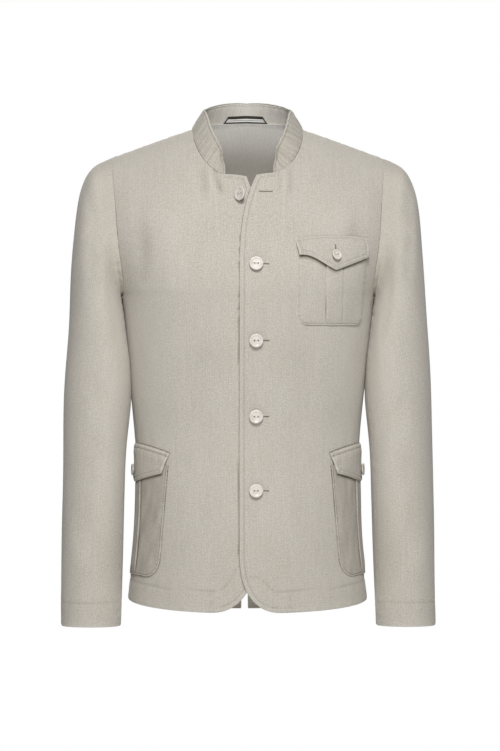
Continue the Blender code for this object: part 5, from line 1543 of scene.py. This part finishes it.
def sewn_button(name, point, look, radius, thick, hole_turn=0.0, dimmed=0.0):
    """A turned disc from its profile carried round an axis, sunk at two holes, with a wound shank below
    and thread from hole to hole."""
    normal = unit(np.asarray(look, float))
    level = unit(np.cross((0, 0, 1.0), normal))
    upright = np.cross(normal, level)
    cos, sin = math.cos(math.radians(hole_turn)), math.sin(math.radians(hole_turn))
    right, up = level * cos + upright * sin, upright * cos - level * sin
    middle = point + normal * (SHANK + BUTTON_GAP)

    out = np.append(DISH_STEPS, BUTTON_RIM[:, 0])
    high = np.append(np.interp(DISH_STEPS, *BUTTON_DISH.T), BUTTON_RIM[:, 1])
    turn = even_turns(BUTTON_TURNS)
    x, y = out[:, None] * np.cos(turn), out[:, None] * np.sin(turn)
    hole = np.hypot(np.abs(x) - HOLE_APART, y) / HOLE_RADIUS
    on_face = np.arange(len(out)) < out.argmax()
    sunk = smooth_step(*HOLE_SOFT, hole) * on_face[:, None]
    place = raised(raised(middle, radius * x, right), radius * y, up)
    place = raised(place, thick * (high[:, None] - HOLE_DEEP * sunk), normal)
    # Painted shade in the two holes, round the button's edge and on its back, with a little more all over
    # where it is dimmed.
    dark = BUTTON_EDGE_DARK * smooth_step(*BUTTON_EDGE_HIGH, high) * smooth_step(*BUTTON_EDGE_OUT, out)
    dark += BUTTON_BACK_DARK * smooth_step(*BUTTON_BACK_HIGH, high) + dimmed
    wear_and_painted_light = (sunk + dark[:, None]).ravel()
    faces = quads(ring_numbers(len(out), BUTTON_TURNS).T)
    disc = put_mesh(f"{name}_disc", place.reshape(-1, 3), [faces], cream_button, wear_and_painted_light=wear_and_painted_light)
    finish_piece(disc, "button", name)

    around = even_turns(THREAD_SIDES)[:, None]
    bar = np.linspace(-1, 1, THREAD_STEPS)
    arch = THREAD_HIGH + THREAD_ARCH * (1 - bar**THREAD_ARCH_POWER)
    arch -= THREAD_DIP * np.abs(bar) ** THREAD_DIP_POWER
    arc = raised(raised(middle, radius * HOLE_APART * bar, right), thick * arch, normal)[:, None]
    ring = THREAD_RADIUS * (np.cos(around) * up + np.sin(around) * normal)
    tubes = [arc + radius * shift * up + ring for shift in THREAD_SHIFTS]
    below = np.linspace(0, 1, THREAD_STEPS) * (SHANK + BUTTON_GAP + thick * SHANK_PAST) - thick * SHANK_FROM
    wide = SHANK_RADIUS * (1 + SHANK_RIBS * np.cos(np.arange(THREAD_STEPS) * math.pi))[:, None, None]
    wound = raised(middle, -below, normal)[:, None]
    tubes.append(wound + wide * (np.cos(around) * right + np.sin(around) * up))
    one = quads(ring_numbers(THREAD_STEPS, THREAD_SIDES))
    faces = [one + number * THREAD_STEPS * THREAD_SIDES for number in range(len(tubes))]
    threads = put_mesh(f"{name}_thread", np.concatenate(tubes).reshape(-1, 3), faces, button_thread)
    finish_piece(threads, "button")


BUTTON_RADIUS, BUTTON_THICK, SMALL_THICK, FLAP_BUTTON_TURN = 0.0100, 0.0034, 0.0028, 12.0
TOP_BUTTON_AT, TOP_BUTTON_OUT, TOP_BUTTON_RADIUS = (-0.0132, -0.1008), 0.0078, 0.0104
# The top button is dimmed a little all over by painted shade.
TOP_BUTTON_TURN, TOP_BUTTON_DIP, TOP_HOLE_TURN, TOP_BUTTON_DIMMED = math.radians(-44.0), 0.08, 8.0, 0.05
for number, z in enumerate(FRONT_BUTTON_Z, 1):
    girth, rise = locate(BUTTON_LINE_X, z)
    look = body_normal(girth, rise)
    sewn_button(f"front_button_{number}", skin(girth, rise, LAP_LIFT), look, BUTTON_RADIUS, BUTTON_THICK)
girth, rise = locate(*TOP_BUTTON_AT)
x, y, _ = body_normal(girth, rise)
cos, sin = math.cos(TOP_BUTTON_TURN), math.sin(TOP_BUTTON_TURN)
look = unit(np.array([x * cos - y * sin, x * sin + y * cos, TOP_BUTTON_DIP]))
point = skin(girth, rise, TOP_BUTTON_OUT) - look * SHANK
sewn_button("top_button", point, look, TOP_BUTTON_RADIUS, BUTTON_THICK, TOP_HOLE_TURN, TOP_BUTTON_DIMMED)
for name, flap in FLAPS.items():
    for node, _, side in placed(name):
        on, way = lay_on(on_flap(flap, 0)[None], flaps[node].outer, flaps[node].normal)
        point, look = on[0] * (side, 1, 1), way[0] * (side, 1, 1) + flap.button_look
        button = node.replace("flap", "button")
        sewn_button(button, point, look, flap.button_radius, SMALL_THICK, FLAP_BUTTON_TURN)

# Camera, light and floor. The camera stands 6 m off, level with the middle of the jacket and two
# degrees to its right. A soft lamp high in front, a weaker one below it, one behind for the back and a
# white surround give the pale studio look.
CAMERA_FAR, CAMERA_TURN = 6.0, math.radians(-2.0)
AIM = np.array((0.0036, 0.0, -0.357))
PIXEL, PHOTO_HIGH, SENSOR = 0.00145, 751, 24.0
camera_data = bpy.data.cameras.new("camera")
camera_data.sensor_fit = "VERTICAL"
camera_data.sensor_height = SENSOR
camera_data.lens = SENSOR * CAMERA_FAR / (PHOTO_HIGH * PIXEL)
camera = bpy.data.objects.new("camera", camera_data)
camera.location = AIM + CAMERA_FAR * np.array((math.sin(CAMERA_TURN), -math.cos(CAMERA_TURN), 0))
camera.rotation_euler = (math.pi / 2, 0, CAMERA_TURN)
bpy.context.collection.objects.link(camera)
bpy.context.scene.camera = camera

Lamp = namedtuple("Lamp", "name place size power")
LAMPS = (
    Lamp("key_softbox", (0.05, -3.6, 3.0), 1.2, 152.0),
    Lamp("front_fill", (-0.1, -4.9, 0.8), 1.2, 50.0),
    Lamp("back_fill", (0.0, 4.5, 2.6), 2.6, 150.0),
)
for lamp in LAMPS:
    light_data = bpy.data.lights.new(lamp.name, "AREA")
    light_data.size = lamp.size
    light_data.energy = lamp.power
    light = bpy.data.objects.new(lamp.name, light_data)
    light.location = lamp.place
    x, y, z = unit(AIM - lamp.place)
    light.rotation_euler = (math.acos(-z), 0, math.atan2(x, -y) + math.pi)
    bpy.context.collection.objects.link(light)

SURROUND_LIGHT = 0.13
world = bpy.data.worlds.new("white_surround")
bpy.context.scene.world = world
world.use_nodes = True
sky = world.node_tree.nodes["Background"]
sky.inputs["Color"].default_value = (1, 1, 1, 1)
seen = world.node_tree.nodes.new("ShaderNodeLightPath")
strength = world.node_tree.nodes.new("ShaderNodeMath")
strength.operation = "MULTIPLY_ADD"
strength.inputs[1].default_value = 1.0 - SURROUND_LIGHT
strength.inputs[2].default_value = SURROUND_LIGHT
world.node_tree.links.new(seen.outputs["Is Camera Ray"], strength.inputs[0])
world.node_tree.links.new(strength.outputs[0], sky.inputs["Strength"])
bpy.context.scene.view_settings.view_transform = "Standard"

FLOOR_Z, FLOOR_RADII, FLOOR_SIDES = -1.45, np.array((0.001, 3.2))[:, None], 96
turn = even_turns(FLOOR_SIDES)
x, y = FLOOR_RADII * np.cos(turn), FLOOR_RADII * np.sin(turn)
points = np.stack([x, y, np.full(x.shape, FLOOR_Z)], -1).reshape(-1, 3)
pale_floor, _, shade = node_maker("pale_floor")
shade({"Base Color": (0.86, 0.86, 0.85, 1), "Roughness": 0.9})
put_mesh("floor", points, [quads(ring_numbers(2, FLOOR_SIDES).T)], pale_floor)
